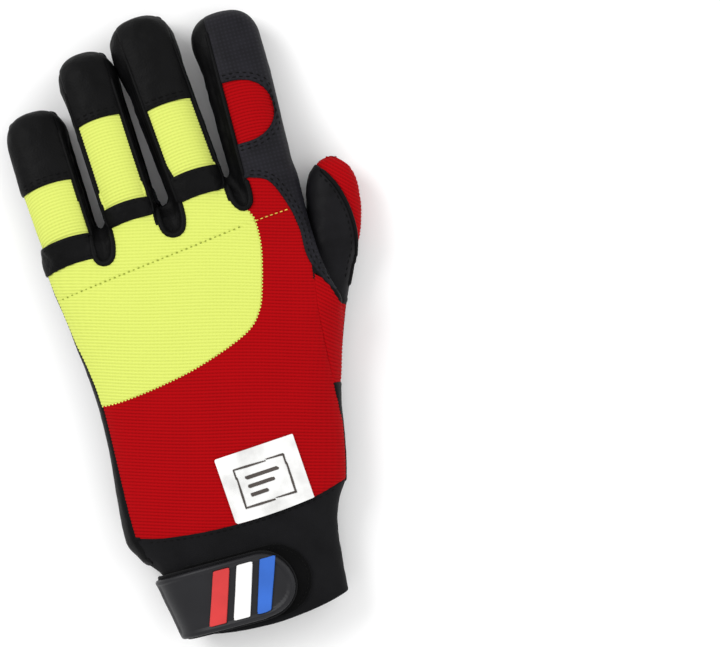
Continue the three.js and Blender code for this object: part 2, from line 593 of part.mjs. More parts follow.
addPiece(
  "loop_tape",
  layer(...tapeSkin).intersect(prism(rounded(cuffPlan(-26, 0).x, tapeTip, strapLow, strapHigh + 1), seamHeight, tall)),
  "black_neoprene",
);
addPiece(
  "wrist_strap",
  laidOn(rounded(beyond, strapTip, strapLow, strapHigh), under(strapFoot, strapLow + 3, strapHigh - 3), ...strapSkin),
  "black_neoprene",
);
addPiece(
  "strap_badge",
  layer(...badgeSkin).intersect(prism(rounded(beyond, strapTip, strapLow, strapHigh), seamHeight, tall)),
  "black_rubber",
);
const barLow = strapLow + badgeRim;
const barHigh = strapHigh - badgeRim;
const barSlant = 7;
const barStart = cuffPlan(-21, 0).x;
const barWidth = 7;
const barStep = 10;
["red", "white", "blue"].forEach((colour, i) => {
  const left = barStart + i * barStep;
  const outline = [
    new THREE.Vector2(left, barLow),
    new THREE.Vector2(left + barWidth, barLow),
    new THREE.Vector2(left + barWidth + barSlant, barHigh),
    new THREE.Vector2(left + barSlant, barHigh),
  ];
  addPiece(`badge_bar_${colour}`, layer(...barSkin).intersect(prism(outline, seamHeight, tall)), `${colour}_rubber`);
});

// Sewn-in label, laid back over the main panel from the cuff seam. It hangs a little askew.
const labelFoot = new THREE.Vector2(labelCentre, plan(0, -3.9).y);
const labelCorner = (across, along) =>
  new THREE.Vector2(labelFoot.x + (across * labelWidth) / 2, labelFoot.y + along * labelLength).rotateAround(labelFoot, labelTurn);
const labelOutline = [labelCorner(-1, 0), labelCorner(1, 0), labelCorner(1, 1), labelCorner(-1, 1)];
const labelStrip = layer(seamGap, seamGap + labelThickness).intersect(prism(labelOutline, seamHeight, tall));
addPiece("label", labelStrip.subtract(prism(cuffOutline)), "label_cloth");

// The origin is under the middle of the glove, on the surface that it lies on.
const box = new THREE.Box3().setFromObject(glove);
const centre = box.getCenter(new THREE.Vector3());
glove.position.set(-centre.x, -centre.y, -box.min.z);

export default glove;
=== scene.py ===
# The looks of a chainsaw work glove that lies on its palm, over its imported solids.
# Shapes are worked out in millimetres in the glove's own plan: +Y towards the fingertips,
# +X towards the thumb, and the origin at the middle of the cuff seam on the resting surface.
import math

import bpy
import numpy as np
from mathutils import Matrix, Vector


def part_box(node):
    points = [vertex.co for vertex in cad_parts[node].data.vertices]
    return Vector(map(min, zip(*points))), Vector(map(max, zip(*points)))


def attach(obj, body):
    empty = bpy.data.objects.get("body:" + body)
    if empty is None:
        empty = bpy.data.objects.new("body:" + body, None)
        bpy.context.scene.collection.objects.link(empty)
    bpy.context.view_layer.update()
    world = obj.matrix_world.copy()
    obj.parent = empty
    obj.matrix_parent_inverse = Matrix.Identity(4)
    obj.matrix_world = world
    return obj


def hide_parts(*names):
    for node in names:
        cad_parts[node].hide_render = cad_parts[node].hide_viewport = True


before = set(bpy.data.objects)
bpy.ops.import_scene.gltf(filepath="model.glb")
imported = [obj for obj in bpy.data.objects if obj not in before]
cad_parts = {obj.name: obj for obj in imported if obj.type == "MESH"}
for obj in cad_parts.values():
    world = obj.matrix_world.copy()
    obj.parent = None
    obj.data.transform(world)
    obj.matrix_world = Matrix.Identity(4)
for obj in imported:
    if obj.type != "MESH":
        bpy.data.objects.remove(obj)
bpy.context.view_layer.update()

# Driving dimensions, as in the solids
PALM_WIDTH, PALM_LENGTH, PALM_HEIGHT, CUFF_LENGTH = 112.0, 135.0, 36.0, 50.0
PAD = 1.2
BASE = PAD + 0.3
SEAM_HEIGHT = 14.0
FABRIC = 1.5
LEATHER = 0.6  # how much the leather adds to each side of a finger
FINGERTIP_ROUNDING, THUMB_TIP_ROUNDING = 15.0, 17.0
THUMB_WIDTH, THUMB_HEIGHT = 23.0, 21.0
RIB_PITCH, RIB_HEIGHT = 1.42, 0.28
PHOTO_TURN = math.radians(15)
LABEL_WIDTH, LABEL_LENGTH, LABEL_TURN = 35.0, 30.0, math.radians(3.6)
LABEL_FOOT = np.array([15.2, -0.039 * PALM_LENGTH])  # the middle of its lower edge


def on_label(x, y):
    """The place in plan of a point of the label, which is given from its lower left corner."""
    x, cos, sin = x - LABEL_WIDTH / 2, math.cos(LABEL_TURN), math.sin(LABEL_TURN)
    return LABEL_FOOT + np.stack([x * cos - y * sin, x * sin + y * cos], -1)


# The solids' place in the frame, from the label's upper corners
label_low, label_high = (np.array(corner) * 1000 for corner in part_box("label"))
SHIFT = np.array([label_low[0] - on_label(0.0, LABEL_LENGTH)[0],
                  label_high[1] - on_label(LABEL_WIDTH, LABEL_LENGTH)[1], 0.0])

# Hand and cuff sections: along, left, right, top, left bulge, right bulge, rise, flat left, flat right,
# roundness. along is a share of the palm's or the cuff's length, rise is in millimetres, roundness is a
# power, and the rest are shares of the palm's width or height.
HAND = np.array([
    (-1.30, -0.270, 0.310, 0.72, 0.38, 0.38, 3.4, -0.12, 0.15, 2.2),
    (-1.00, -0.295, 0.320, 0.74, 0.38, 0.38, 3.0, -0.14, 0.16, 2.2),
    (-0.62, -0.326, 0.334, 0.76, 0.38, 0.38, 2.2, -0.16, 0.18, 2.2),
    (-0.36, -0.357, 0.348, 0.78, 0.38, 0.38, 1.5, -0.18, 0.20, 2.2),
    (-0.20, -0.415, 0.370, 0.82, 0.40, 0.38, 0.6, -0.22, 0.22, 2.2),
    (-0.05, -0.450, 0.405, 0.86, 0.42, 0.40, 0.0, -0.26, 0.24, 2.2),
    (0.05, -0.450, 0.438, 0.89, 0.42, 0.42, 0.0, -0.27, 0.25, 2.2),
    (0.14, -0.440, 0.460, 0.92, 0.42, 0.42, 0.0, -0.28, 0.26, 2.2),
    (0.30, -0.420, 0.493, 0.97, 0.42, 0.42, 0.0, -0.29, 0.26, 2.2),
    (0.43, -0.417, 0.540, 1.00, 0.42, 0.44, 0.0, -0.29, 0.25, 2.1),
    (0.51, -0.422, 0.570, 1.00, 0.42, 0.54, 0.0, -0.30, 0.23, 1.9),
    (0.56, -0.428, 0.585, 0.99, 0.42, 0.70, 0.0, -0.30, 0.21, 1.6),
    (0.62, -0.438, 0.566, 0.97, 0.42, 0.77, 0.0, -0.31, 0.19, 1.5),
    (0.72, -0.452, 0.545, 0.93, 0.42, 0.76, 0.0, -0.32, 0.19, 1.5),
    (0.82, -0.468, 0.538, 0.87, 0.43, 0.56, 0.0, -0.33, 0.31, 2.1),
    (0.905, -0.474, 0.538, 0.81, 0.44, 0.49, 1.0, -0.34, 0.36, 2.2),
    (0.96, -0.466, 0.530, 0.74, 0.44, 0.48, 2.2, -0.34, 0.34, 2.2),
    (0.99, -0.440, 0.510, 0.64, 0.43, 0.45, 4.2, -0.34, 0.38, 2.2),
    (1.05, -0.400, 0.480, 0.56, 0.43, 0.45, 6.0, -0.34, 0.36, 2.2),
])
CROTCH_SLOPE, CROTCH_SLOPE_START = 0.09, 0.72

# Fingers: root across and along, lean in degrees, length, width, height, back strip's left and right and
# palm strip's left and right as shares of half the width, and where the band starts and ends and the cap
# starts as shares of the length
FINGERS = {
    "little": dict(root=(-0.355, 0.83), lean=-2.7, length=75.5, width=26.6, height=20.5,
                   back=(-1.2, 0.72), palm=(-1.2, 0.86), band=(0.07, 0.225), cap=0.545),
    "ring": dict(root=(-0.098, 0.83), lean=-3.0, length=94.5, width=25.4, height=22.5,
                 back=(-0.8, 0.74), palm=(-0.42, 0.86), band=(0.18, 0.27), cap=0.665),
    "middle": dict(root=(0.174, 0.83), lean=-5.1, length=103.5, width=28.4, height=23.5,
                   back=(-0.57, 0.86), palm=(-0.45, 0.86), band=(0.19, 0.3), cap=0.595),
    "index": dict(root=(0.411, 0.83), lean=0.3, length=96.5, width=29.5, height=22.5,
                  back=(-0.46, 1.2), palm=(-0.46, 1.2), band=(0, 0), cap=1),
}
# Sections along a finger: at, width, height, lift
FINGER = np.array([
    (0.0, 0.80, 0.84, 0.46), (0.3, 0.95, 1.03, 0.47), (0.6, 1.0, 0.99, 0.46),
    (0.82, 1.02, 0.95, 0.42), (1.0, 1.0, 0.9, 0.375),
])
# The thumb's centre line: across, along, lift, width, height
THUMB = np.array([
    (0.31, 0.15, 0.44, 0.8, 1.1), (0.385, 0.31, 0.39, 1.0, 1.12), (0.442, 0.45, 0.35, 1.04, 1.06),
    (0.507, 0.585, 0.33, 1.0, 1.0), (0.573, 0.696, 0.33, 0.97, 0.98), (0.626, 0.778, 0.335, 0.98, 0.98),
    (0.652, 0.85, 0.335, 1.0, 0.98), (0.66, 0.885, 0.335, 0.97, 0.95),
])
THUMB_END = (0.685, 0.998)


def plan(rows):
    """Shares of the palm's width and length, in per cent, as millimetres."""
    return np.asarray(rows, float) * (PALM_WIDTH / 100, PALM_LENGTH / 100)


def spline(points, steps=12, closed=False):
    """A smooth line through points, a Catmull-Rom curve."""
    p = np.asarray(points, float)
    p = np.vstack([p[-1], p, p[:2]] if closed else [2 * p[0] - p[1], p, 2 * p[-1] - p[-2]])
    out = []
    for a, b, c, d in zip(p, p[1:], p[2:], p[3:]):
        for t in np.linspace(0, 1, steps, endpoint=False):
            out.append(0.5 * (2 * b + (c - a) * t + (2 * a - 5 * b + 4 * c - d) * t * t
                              + (3 * b - a - 3 * c + d) * t ** 3))
    if not closed:
        out.append(p[-2])
    return np.array(out)


def table_at(table, at, wanted):
    """Smoothly interpolated columns of a table whose first column is the place."""
    grid = np.linspace(table[0, 0], table[-1, 0], 400)
    slopes = np.gradient(table, table[:, 0], axis=0)
    i = np.clip(np.searchsorted(table[:, 0], grid) - 1, 0, len(table) - 2)
    span = (table[i + 1, 0] - table[i, 0])[:, None]
    t = (grid[:, None] - table[i, :1]) / span
    fine = ((2 * t ** 3 - 3 * t ** 2 + 1) * table[i] + (t ** 3 - 2 * t ** 2 + t) * span * slopes[i]
            + (3 * t ** 2 - 2 * t ** 3) * table[i + 1] + (t ** 3 - t ** 2) * span * slopes[i + 1])
    return [np.interp(at, grid, fine[:, k]) for k in wanted]


def ease(a, b, x):
    """0 below a, 1 above b and smooth between them."""
    t = np.clip((x - a) / (b - a), 0, 1)
    return t * t * (3 - 2 * t)


def signed(poly, points):
    """Distance in plan to a polygon's edge, positive inside it."""
    x, y = points[..., 0], points[..., 1]
    near = np.full(x.shape, 1e9)
    inside = np.zeros(x.shape, bool)
    for (ax, ay), (bx, by) in zip(poly, np.roll(poly, -1, 0)):
        ex, ey = bx - ax, by - ay
        t = np.clip(((x - ax) * ex + (y - ay) * ey) / max(ex * ex + ey * ey, 1e-9), 0, 1)
        near = np.minimum(near, (x - ax - t * ex) ** 2 + (y - ay - t * ey) ** 2)
        inside ^= ((ay > y) != (by > y)) & (x < ex * (y - ay) / (ey if ey else 1e-9) + ax)
    return np.where(inside, 1, -1) * np.sqrt(near)


def blend(a, b, k):
    """The union of two fields, with a fillet about k wide."""
    h = np.clip(0.5 + 0.5 * (b - a) / k, 0, 1)
    return b * (1 - h) + a * h - k * h * (1 - h)


# Fields: negative inside a form, about the distance to its surface in millimetres
def hand_field(x, y, z):
    along = np.where(y < 0, y / CUFF_LENGTH, y / PALM_LENGTH)
    ahead = np.clip((along - CROTCH_SLOPE_START) / (1 - CROTCH_SLOPE_START), 0, 1.2) * CROTCH_SLOPE
    y = y - ahead * x
    along = np.where(y < 0, y / CUFF_LENGTH, y / PALM_LENGTH)
    left, right, top, low_left, low_right, rise, flat_left, flat_right, round_right = table_at(
        HAND, along, range(1, 10))
    left, right = left * PALM_WIDTH, right * PALM_WIDTH
    middle = (left + right) / 2
    thumb_side = x > middle
    side = np.where(thumb_side, right, left)
    bulge = np.where(thumb_side, low_right, low_left) * PALM_HEIGHT
    flat = np.where(thumb_side, flat_right, flat_left) * PALM_WIDTH
    power = np.where(thumb_side, round_right, 2.3)
    top = top * PALM_HEIGHT
    bottom = BASE + rise
    out_up = np.abs(x - middle) / np.abs(side - middle)
    up = np.clip((z - bulge) / (top - bulge), 0, None)
    n_up = np.maximum((out_up ** 2.5 + up ** 2.5) ** 0.4, 1e-3)
    reach_up = np.hypot(x - middle, z - bulge)
    out_down = np.clip((x - flat) / (side - flat), 0, None)
    down = np.clip((bulge - z) / (bulge - bottom), 0, None)
    n_down = np.maximum((out_down ** power + down ** power) ** (1 / power), 1e-3)
    reach_down = np.hypot(out_down * np.abs(side - flat), z - bulge)
    field = np.where(z > bulge, (1 - 1 / n_up) * reach_up, (1 - 1 / n_down) * reach_down)
    return np.maximum(field, y - 1.0 * PALM_LENGTH)


def finger_root(finger):
    """A finger's root in plan, and the cosine and sine of its lean."""
    lean = math.radians(finger["lean"])
    return plan([np.multiply(finger["root"], 100)])[0], math.cos(lean), math.sin(lean)


def finger_place(finger, x, y):
    root, cos, sin = finger_root(finger)
    dx, dy = x - root[0], y - root[1]
    return dx * cos - dy * sin, dx * sin + dy * cos


def finger_plan(finger, across, along):
    root, cos, sin = finger_root(finger)
    return np.stack([root[0] + across * cos + along * sin, root[1] - across * sin + along * cos], -1)


def rounded_field(across, up, past, half_width, half_height, tip=2.6):
    n = ((np.abs(across) / half_width) ** 2.35 + (np.abs(up) / half_height) ** 2.35) ** (1 / 2.35)
    n = np.maximum((n ** tip + past[0] ** tip) ** (1 / tip), 1e-3)
    return (1 - 1 / n) * np.sqrt(across ** 2 + up ** 2 + past[1] ** 2)


def finger_field(finger, x, y, z):
    across, along = finger_place(finger, x, y)
    straight = finger["length"] - FINGERTIP_ROUNDING
    width, height, lift = table_at(FINGER, np.clip(along / straight, 0, 1), (1, 2, 3))
    past = np.clip(along - straight, 0, None)
    share = past / FINGERTIP_ROUNDING
    up = z - lift * PALM_HEIGHT + 0.036 * PALM_HEIGHT * np.clip(share, 0, 1)
    field = rounded_field(across, up, (share, past), width * finger["width"] / 2 - LEATHER,
                          height * finger["height"] / 2)
    return np.maximum(field, -along)


THUMB_LINE = spline(np.vstack([THUMB[:, :2] * (PALM_WIDTH, PALM_LENGTH)]), 10)
THUMB_ROWS = np.linspace(0, len(THUMB) - 1, len(THUMB_LINE))


def thumb_place(x, y):
    """Signed distance across the thumb, distance past its last section, and the section number."""
    steps = np.diff(THUMB_LINE, axis=0)
    end_way = np.subtract(THUMB_END, THUMB[-1, :2]) * (PALM_WIDTH, PALM_LENGTH)
    end_way /= np.linalg.norm(end_way)
    best = np.full(np.shape(x), 1e9)
    across, past, row = np.zeros(np.shape(x)), np.zeros(np.shape(x)), np.zeros(np.shape(x))
    for i, step in enumerate(steps):
        length = np.linalg.norm(step)
        way = step / length
        if i == len(steps) - 1:
            way = end_way
        dx, dy = x - THUMB_LINE[i][0], y - THUMB_LINE[i][1]
        t = (dx * way[0] + dy * way[1]) / length
        inside = np.clip(t, 0, 1)
        gone = np.hypot(dx - inside * length * way[0], dy - inside * length * way[1])
        near = gone < best
        best = np.where(near, gone, best)
        across = np.where(near, dx * way[1] - dy * way[0], across)
        past = np.where(near, np.clip((t - 1) * length, 0, None) * (i == len(steps) - 1), past)
        row = np.where(near, THUMB_ROWS[i] + inside * (THUMB_ROWS[i + 1] - THUMB_ROWS[i]), row)
    return across, past, row


def thumb_field(x, y, z):
    across, past, row = thumb_place(x, y)
    rows = np.column_stack([np.arange(len(THUMB)), THUMB])
    lift, width, height = table_at(rows, row, (3, 4, 5))
    return rounded_field(across, z - lift * PALM_HEIGHT, (past / THUMB_TIP_ROUNDING, past),
                         width * THUMB_WIDTH / 2, height * THUMB_HEIGHT / 2, tip=2.1)


# Rays: how far one reaches and in what steps, where a drape starts, and a height above the whole glove
RAY_REACH, RAY_STEP = 60.0, 0.8
DRAPE_LOW, DRAPE_HIGH = -4.0, 42.0
OVER_GLOVE = 38.0


def corners(t):
    """The eight corners of a cell, each with its share at places t inside the cell."""
    for corner in range(8):
        step = [(corner >> k) & 1 for k in range(3)]
        weight = 1.0
        for k in range(3):
            weight = weight * (t[k] if step[k] else 1 - t[k])
        yield step, weight


def crossing(values):
    """After how many steps rows of values first rise above 0."""
    first = np.clip((values > 0).argmax(0), 1, None)
    before, after = (np.take_along_axis(values, k[None], 0)[0] for k in (first - 1, first))
    return first - 1 + np.clip(-before / np.maximum(after - before, 1e-6), 0, 1)


class Form:
    """A field sampled on a grid, with its slopes."""

    def __init__(self, low, high, pitch, field):
        self.low, self.pitch = np.array(low, float), pitch
        self.axes = [np.arange(a, b + pitch, pitch) for a, b in zip(low, high)]
        x, y, z = np.meshgrid(*self.axes, indexing="ij")
        self.values = field(x, y, z)
        self.slopes = np.gradient(self.values, pitch)

    def sample(self, points, *grids):
        at = (points - self.low) / self.pitch
        shape = self.values.shape
        i = [np.clip(at[..., k].astype(int), 0, shape[k] - 2) for k in range(3)]
        t = [np.clip(at[..., k] - i[k], 0, 1) for k in range(3)]
        out = [0.0] * len(grids)
        for step, weight in corners(t):
            place = tuple(i[k] + step[k] for k in range(3))
            out = [total + weight * grid[place] for total, grid in zip(out, grids)]
        return out

    def at(self, points):
        return self.sample(points, self.values)[0]

    def normals(self, points):
        slope = np.stack(self.sample(points, *self.slopes), -1)
        return slope / np.maximum(np.linalg.norm(slope, axis=-1, keepdims=True), 1e-6)

    def settle(self, points, rounds=3):
        """Moves points onto the surface."""
        for _ in range(rounds):
            slope = np.stack(self.sample(points, *self.slopes), -1)
            size = np.maximum((slope ** 2).sum(-1, keepdims=True), 0.05)
            points = points - np.clip(self.at(points)[..., None] / size, -1, 1) * slope
        return points

    def hit(self, origin, way):
        """Where rays that start inside leave the form."""
        values = np.stack([self.at(origin + d * way) for d in np.arange(0, RAY_REACH, RAY_STEP)])
        return self.settle(origin + (crossing(values) * RAY_STEP)[..., None] * way, 2)

    def drape(self, xy, under=False):
        """The point of the upper or lower surface at each place in plan."""
        height = DRAPE_LOW if under else DRAPE_HIGH
        start = np.concatenate([xy, np.full(xy.shape[:-1] + (1,), height)], -1)
        way = np.array([0, 0, 1.0 if under else -1.0])
        depth = np.arange(0, DRAPE_HIGH - DRAPE_LOW, RAY_STEP)
        values = np.stack([self.at(start + d * way) for d in depth])
        return start + (crossing(-values) * RAY_STEP)[..., None] * way

    def skin(self):
        """Vertices and triangles of the surface, facing out."""
        inside = self.values < 0
        cells = [np.arange(n - 1) for n in inside.shape]
        corner = lambda a, i, j, k: a[i:i + len(cells[0]), j:j + len(cells[1]), k:k + len(cells[2])]
        count = sum(corner(inside, i, j, k).astype(int) for i in (0, 1) for j in (0, 1) for k in (0, 1))
        active = (count > 0) & (count < 8)
        number = np.full(active.shape, -1)
        number[active] = np.arange(active.sum())
        where = np.argwhere(active)
        points = self.settle(self.low + (where + 0.5) * self.pitch, 5)
        faces = []
        for axis in range(3):
            b, c = (axis + 1) % 3, (axis + 2) % 3
            ahead = np.roll(inside, -1, axis)
            cross = inside != ahead
            index = np.argwhere(cross)
            keep = (index[:, axis] < inside.shape[axis] - 1) & (index[:, b] > 0) & (index[:, c] > 0)
            keep &= (index[:, b] < inside.shape[b] - 1) & (index[:, c] < inside.shape[c] - 1)
            index = index[keep]
            ring = []
            for sb, sc in ((0, 0), (1, 0), (1, 1), (0, 1)):
                cell = index.copy()
                cell[:, b] -= sb
                cell[:, c] -= sc
                ring.append(number[tuple(cell.T)])
            quad = np.stack(ring, 1)
            out = inside[tuple(index.T)]
            quad = np.where(out[:, None], quad[:, ::-1], quad)
            faces.append(quad[(quad >= 0).all(1)])
        quads = np.vstack(faces)
        return points, np.vstack([quads[:, [0, 2, 1]], quads[:, [0, 3, 2]]])


def body_field(x, y, z):
    hand = hand_field(x, y, z)
    fingers = np.minimum.reduce([finger_field(f, x, y, z) for f in FINGERS.values()])
    both = blend(hand, fingers, 4.0)
    root = np.maximum(thumb_field(x, y, z), y - 80)
    return blend(both, root, 2.5)


body = Form((-62, -66, -5), (76, 222, 43), 1.0, body_field)
thumb = Form((30, 60, -6), (96, 146, 34), 1.0, thumb_field)
for form in (body, thumb):
    form.base = form.skin()


# Smooth noise, the same on each run
NOISE = np.random.default_rng(7).normal(size=(4, 32, 32, 32))


def noise(points, size, kind=0):
    """Values of about -1 to 1 that change over the given size in millimetres."""
    at = points / size
    cell = np.floor(at).astype(int)
    t = at - cell
    t = t * t * (3 - 2 * t)
    total = 0.0
    for step, weight in corners(np.moveaxis(t, -1, 0)):
        i, j, k = [(cell[..., n] + step[n]) % 32 for n in range(3)]
        total = total + weight * NOISE[kind, i, j, k]
    return total


# Meshes
def cut(points, faces, field, keep_both=False):
    """Cuts triangles along field = 0 and keeps the side above it, or both."""
    points, value = points.copy(), field.copy()
    up = value > 0
    state = up[faces].sum(1)
    kept = [faces[state == 3]]
    other = [faces[state == 0]]
    mixed = faces[(state == 1) | (state == 2)]
    if len(mixed):
        lone_up = up[mixed].sum(1) == 1
        lone = np.where(lone_up, up[mixed].argmax(1), (~up[mixed]).argmax(1))
        turn = (lone[:, None] + np.arange(3)) % 3
        a, b, c = np.take_along_axis(mixed, turn, 1).T
        pairs = np.concatenate([np.stack([a, b], 1), np.stack([a, c], 1)])
        pairs.sort(axis=1)
        unique, index = np.unique(pairs, axis=0, return_inverse=True)
        index = index.reshape(-1)
        v0, v1 = value[unique[:, 0]], value[unique[:, 1]]
        share = (v0 / (v0 - v1))[:, None]
        fresh = points[unique[:, 0]] * (1 - share) + points[unique[:, 1]] * share
        ab = index[:len(a)] + len(points)
        ac = index[len(a):] + len(points)
        points = np.vstack([points, fresh])
        value = np.concatenate([value, np.zeros(len(fresh))])
        tip = np.stack([a, ab, ac], 1)
        foot = np.concatenate([np.stack([ab, b, c], 1), np.stack([ab, c, ac], 1)])
        twice = np.concatenate([lone_up, lone_up])
        kept += [tip[lone_up], foot[~twice]]
        other += [tip[~lone_up], foot[twice]]
    faces = np.vstack(kept + (other if keep_both else []))
    used, faces = np.unique(faces, return_inverse=True)
    return points[used], faces.reshape(-1, 3), value[used]


def panel(form, field, levels):
    """The part of a form's surface where field(points) is above 0, with rows of points near its edge."""
    points, faces = form.base
    points, faces, _ = cut(points, faces, field(points))
    for level in levels:
        points, faces, _ = cut(points, faces, field(points) - level, True)
    points = form.settle(points, 1)
    edge = field(points)
    return points, faces, form.normals(points), np.maximum(edge, 0)


def shell(points, faces, normals, top, thickness):
    """A closed sheet with its outer face lifted by top and its inner face thickness below that."""
    outer = points + normals * np.broadcast_to(top, len(points))[:, None]
    inner = outer - normals * np.broadcast_to(thickness, len(points))[:, None]
    edges = np.concatenate([faces[:, [0, 1]], faces[:, [1, 2]], faces[:, [2, 0]]])
    key = np.sort(edges, 1)
    _, index, count = np.unique(key, axis=0, return_inverse=True, return_counts=True)
    rim = edges[count[index.reshape(-1)] == 1]
    n = len(points)
    side = np.concatenate([np.stack([rim[:, 1], rim[:, 0], rim[:, 0] + n], 1),
                           np.stack([rim[:, 1], rim[:, 0] + n, rim[:, 1] + n], 1)])
    return np.vstack([outer, inner]), np.vstack([faces, faces[:, ::-1] + n, side])


def grid_faces(rows, columns, closed=False):
    index = np.arange(rows * columns).reshape(rows, columns)
    if closed:
        index = np.concatenate([index, index[:, :1]], 1)
    a, b, c, d = index[:-1, :-1], index[:-1, 1:], index[1:, 1:], index[1:, :-1]
    return np.concatenate([np.stack([a, b, c], -1).reshape(-1, 3), np.stack([a, c, d], -1).reshape(-1, 3)])


def add(name, points, faces, material, nodes=(), weave=None):
    """A Blender piece from millimetres in the glove's plan, pressed flat on the resting surface."""
    points = np.column_stack([points[:, :2], np.maximum(points[:, 2], 0.0)])
    mesh = bpy.data.meshes.new(name)
    mesh.vertices.add(len(points))
    mesh.vertices.foreach_set("co", ((points + SHIFT) / 1000).astype(np.float32).ravel())
    mesh.loops.add(len(faces) * 3)
    mesh.loops.foreach_set("vertex_index", faces.astype(np.int32).ravel())
    mesh.polygons.add(len(faces))
    mesh.polygons.foreach_set("loop_start", np.arange(0, len(faces) * 3, 3, dtype=np.int32))
    mesh.polygons.foreach_set("loop_total", np.full(len(faces), 3, np.int32))
    mesh.update(calc_edges=True)
    mesh.validate()
    mesh.polygons.foreach_set("use_smooth", np.ones(len(mesh.polygons), bool))
    if weave is not None:
        layer = mesh.uv_layers.new(name="weave")
        loops = np.empty(len(mesh.loops), np.int32)
        mesh.loops.foreach_get("vertex_index", loops)
        layer.data.foreach_set("uv", (weave[loops] / 100).astype(np.float32).ravel())
    mesh.materials.append(material)
    piece = bpy.data.objects.new(name, mesh)
    bpy.context.scene.collection.objects.link(piece)
    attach(piece, "root")
    if nodes:
        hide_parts(*nodes)
    return piece


def pillow(edge, height, width):
    """A lifted panel's height from its edge inwards, rounded like a folded seam."""
    t = np.clip(edge / width, 0, 1)
    return height * np.sqrt(np.clip(1 - (1 - t) ** 2, 0, 1))


# Materials
def material(name, colour, roughness, **sockets):
    """A plain material, with further sockets named as they are, but for underscores."""
    made = bpy.data.materials.new(name)
    made.use_nodes = True
    shader = made.node_tree.nodes["Principled BSDF"]
    shader.inputs["Base Color"].default_value = (*colour, 1)
    shader.inputs["Roughness"].default_value = roughness
    for socket, value in sockets.items():
        shader.inputs[socket.replace("_", " ")].default_value = value
    return made, made.node_tree, shader


def link(tree, source, out, target, into):
    tree.links.new(source.outputs[out], target.inputs[into])


def texture(tree, kind, coordinates, **values):
    node = tree.nodes.new(kind)
    for key, value in values.items():
        if hasattr(node, key):
            setattr(node, key, value)
        else:
            node.inputs[key.replace("_", " ").title()].default_value = value
    tree.links.new(coordinates, node.inputs["Vector"])
    return node


def speckle(tree, coordinates, scale, detail=3.0):
    return texture(tree, "ShaderNodeTexNoise", coordinates, scale=scale, detail=detail).outputs["Fac"]


def maths(tree, operation, *inputs):
    """The output of a Math node, whose inputs are numbers or other nodes' outputs."""
    node = tree.nodes.new("ShaderNodeMath")
    node.operation = operation
    for socket, value in zip(node.inputs, inputs):
        if isinstance(value, float):
            socket.default_value = value
        else:
            tree.links.new(value, socket)
    return node.outputs["Value"]


def shades(colour, *factors):
    return [[c * factor for c in colour] for factor in factors]


def object_coordinates(tree):
    return tree.nodes.new("ShaderNodeTexCoord").outputs["Object"]


def bump(tree, shader, layers):
    """Adds heights one on the other: each is (output, strength, distance in metres)."""
    last = None
    for height, strength, distance in layers:
        node = tree.nodes.new("ShaderNodeBump")
        node.inputs["Strength"].default_value = strength
        node.inputs["Distance"].default_value = distance
        tree.links.new(height, node.inputs["Height"])
        if last is not None:
            link(tree, last, "Normal", node, "Normal")
        last = node
    link(tree, last, "Normal", shader, "Normal")


def tint(tree, shader, factor, dark, light, low=0.3, high=0.7):
    """Varies the colour between two tones."""
    ramp = tree.nodes.new("ShaderNodeValToRGB")
    ramp.color_ramp.elements[0].position, ramp.color_ramp.elements[1].position = low, high
    ramp.color_ramp.elements[0].color, ramp.color_ramp.elements[1].color = (*dark, 1), (*light, 1)
    tree.links.new(factor, ramp.inputs["Fac"])
    link(tree, ramp, "Color", shader, "Base Color")
    return ramp


def knit(name, light, dark, sheen):
    """Ribbed stretch fabric: painted shade darkens the groove between ribs, and fine loops run along them, as
    the weave lies.
    """
    made, tree, shader = material(name, light, 0.85, Sheen_Weight=sheen, Sheen_Roughness=0.4,
                                  Specular_IOR_Level=0.06)
    weave = tree.nodes.new("ShaderNodeUVMap")
    weave.uv_map = "weave"
    where = weave.outputs["UV"]
    parts = tree.nodes.new("ShaderNodeSeparateXYZ")
    tree.links.new(where, parts.inputs["Vector"])
    crest = maths(tree, "PINGPONG", maths(tree, "MULTIPLY", parts.outputs["Y"], 100 / RIB_PITCH), 0.5)
    loops = texture(tree, "ShaderNodeTexWave", where, bands_direction="X", wave_profile="SIN",
                    scale=100 / 0.8 / (2 * math.pi), distortion=1.2, detail=2.0, detail_scale=2.5)
    loose = speckle(tree, where, 160.0)
    broad = speckle(tree, object_coordinates(tree), 55.0, 2.0)
    shade = maths(tree, "MULTIPLY_ADD", loops.outputs["Fac"], 0.1, crest)
    shade = maths(tree, "MULTIPLY_ADD", broad, 0.16, shade)
    # Painted shade: the colour moves toward the dark tone where crest is low, in the grooves between ribs;
    # the loops add knit pattern and broad adds random tone.
    tint(tree, shader, shade, dark, light, 0.14, 0.42)
    bump(tree, shader, [(crest, 0.5, 0.0004), (loops.outputs["Fac"], 0.3, 0.0001), (loose, 0.25, 0.00008)])
    return made


def leather(name, colour, roughness, grain=0.9, depth=0.35, shine=0.12):
    made, tree, shader = material(name, colour, roughness, Specular_IOR_Level=shine)
    where = object_coordinates(tree)
    cells = texture(tree, "ShaderNodeTexVoronoi", where, scale=1000 / grain)
    fine = speckle(tree, where, 2600.0)
    broad = speckle(tree, where, 90.0)
    tint(tree, shader, broad, *shades(colour, 0.7, 1.35))
    rough = tree.nodes.new("ShaderNodeMapRange")
    rough.inputs["To Min"].default_value = roughness - 0.08
    rough.inputs["To Max"].default_value = roughness + 0.12
    tree.links.new(broad, rough.inputs["Value"])
    link(tree, rough, "Result", shader, "Roughness")
    bump(tree, shader, [(cells.outputs["Distance"], depth, 0.00018), (fine, 0.25, 0.00006)])
    return made


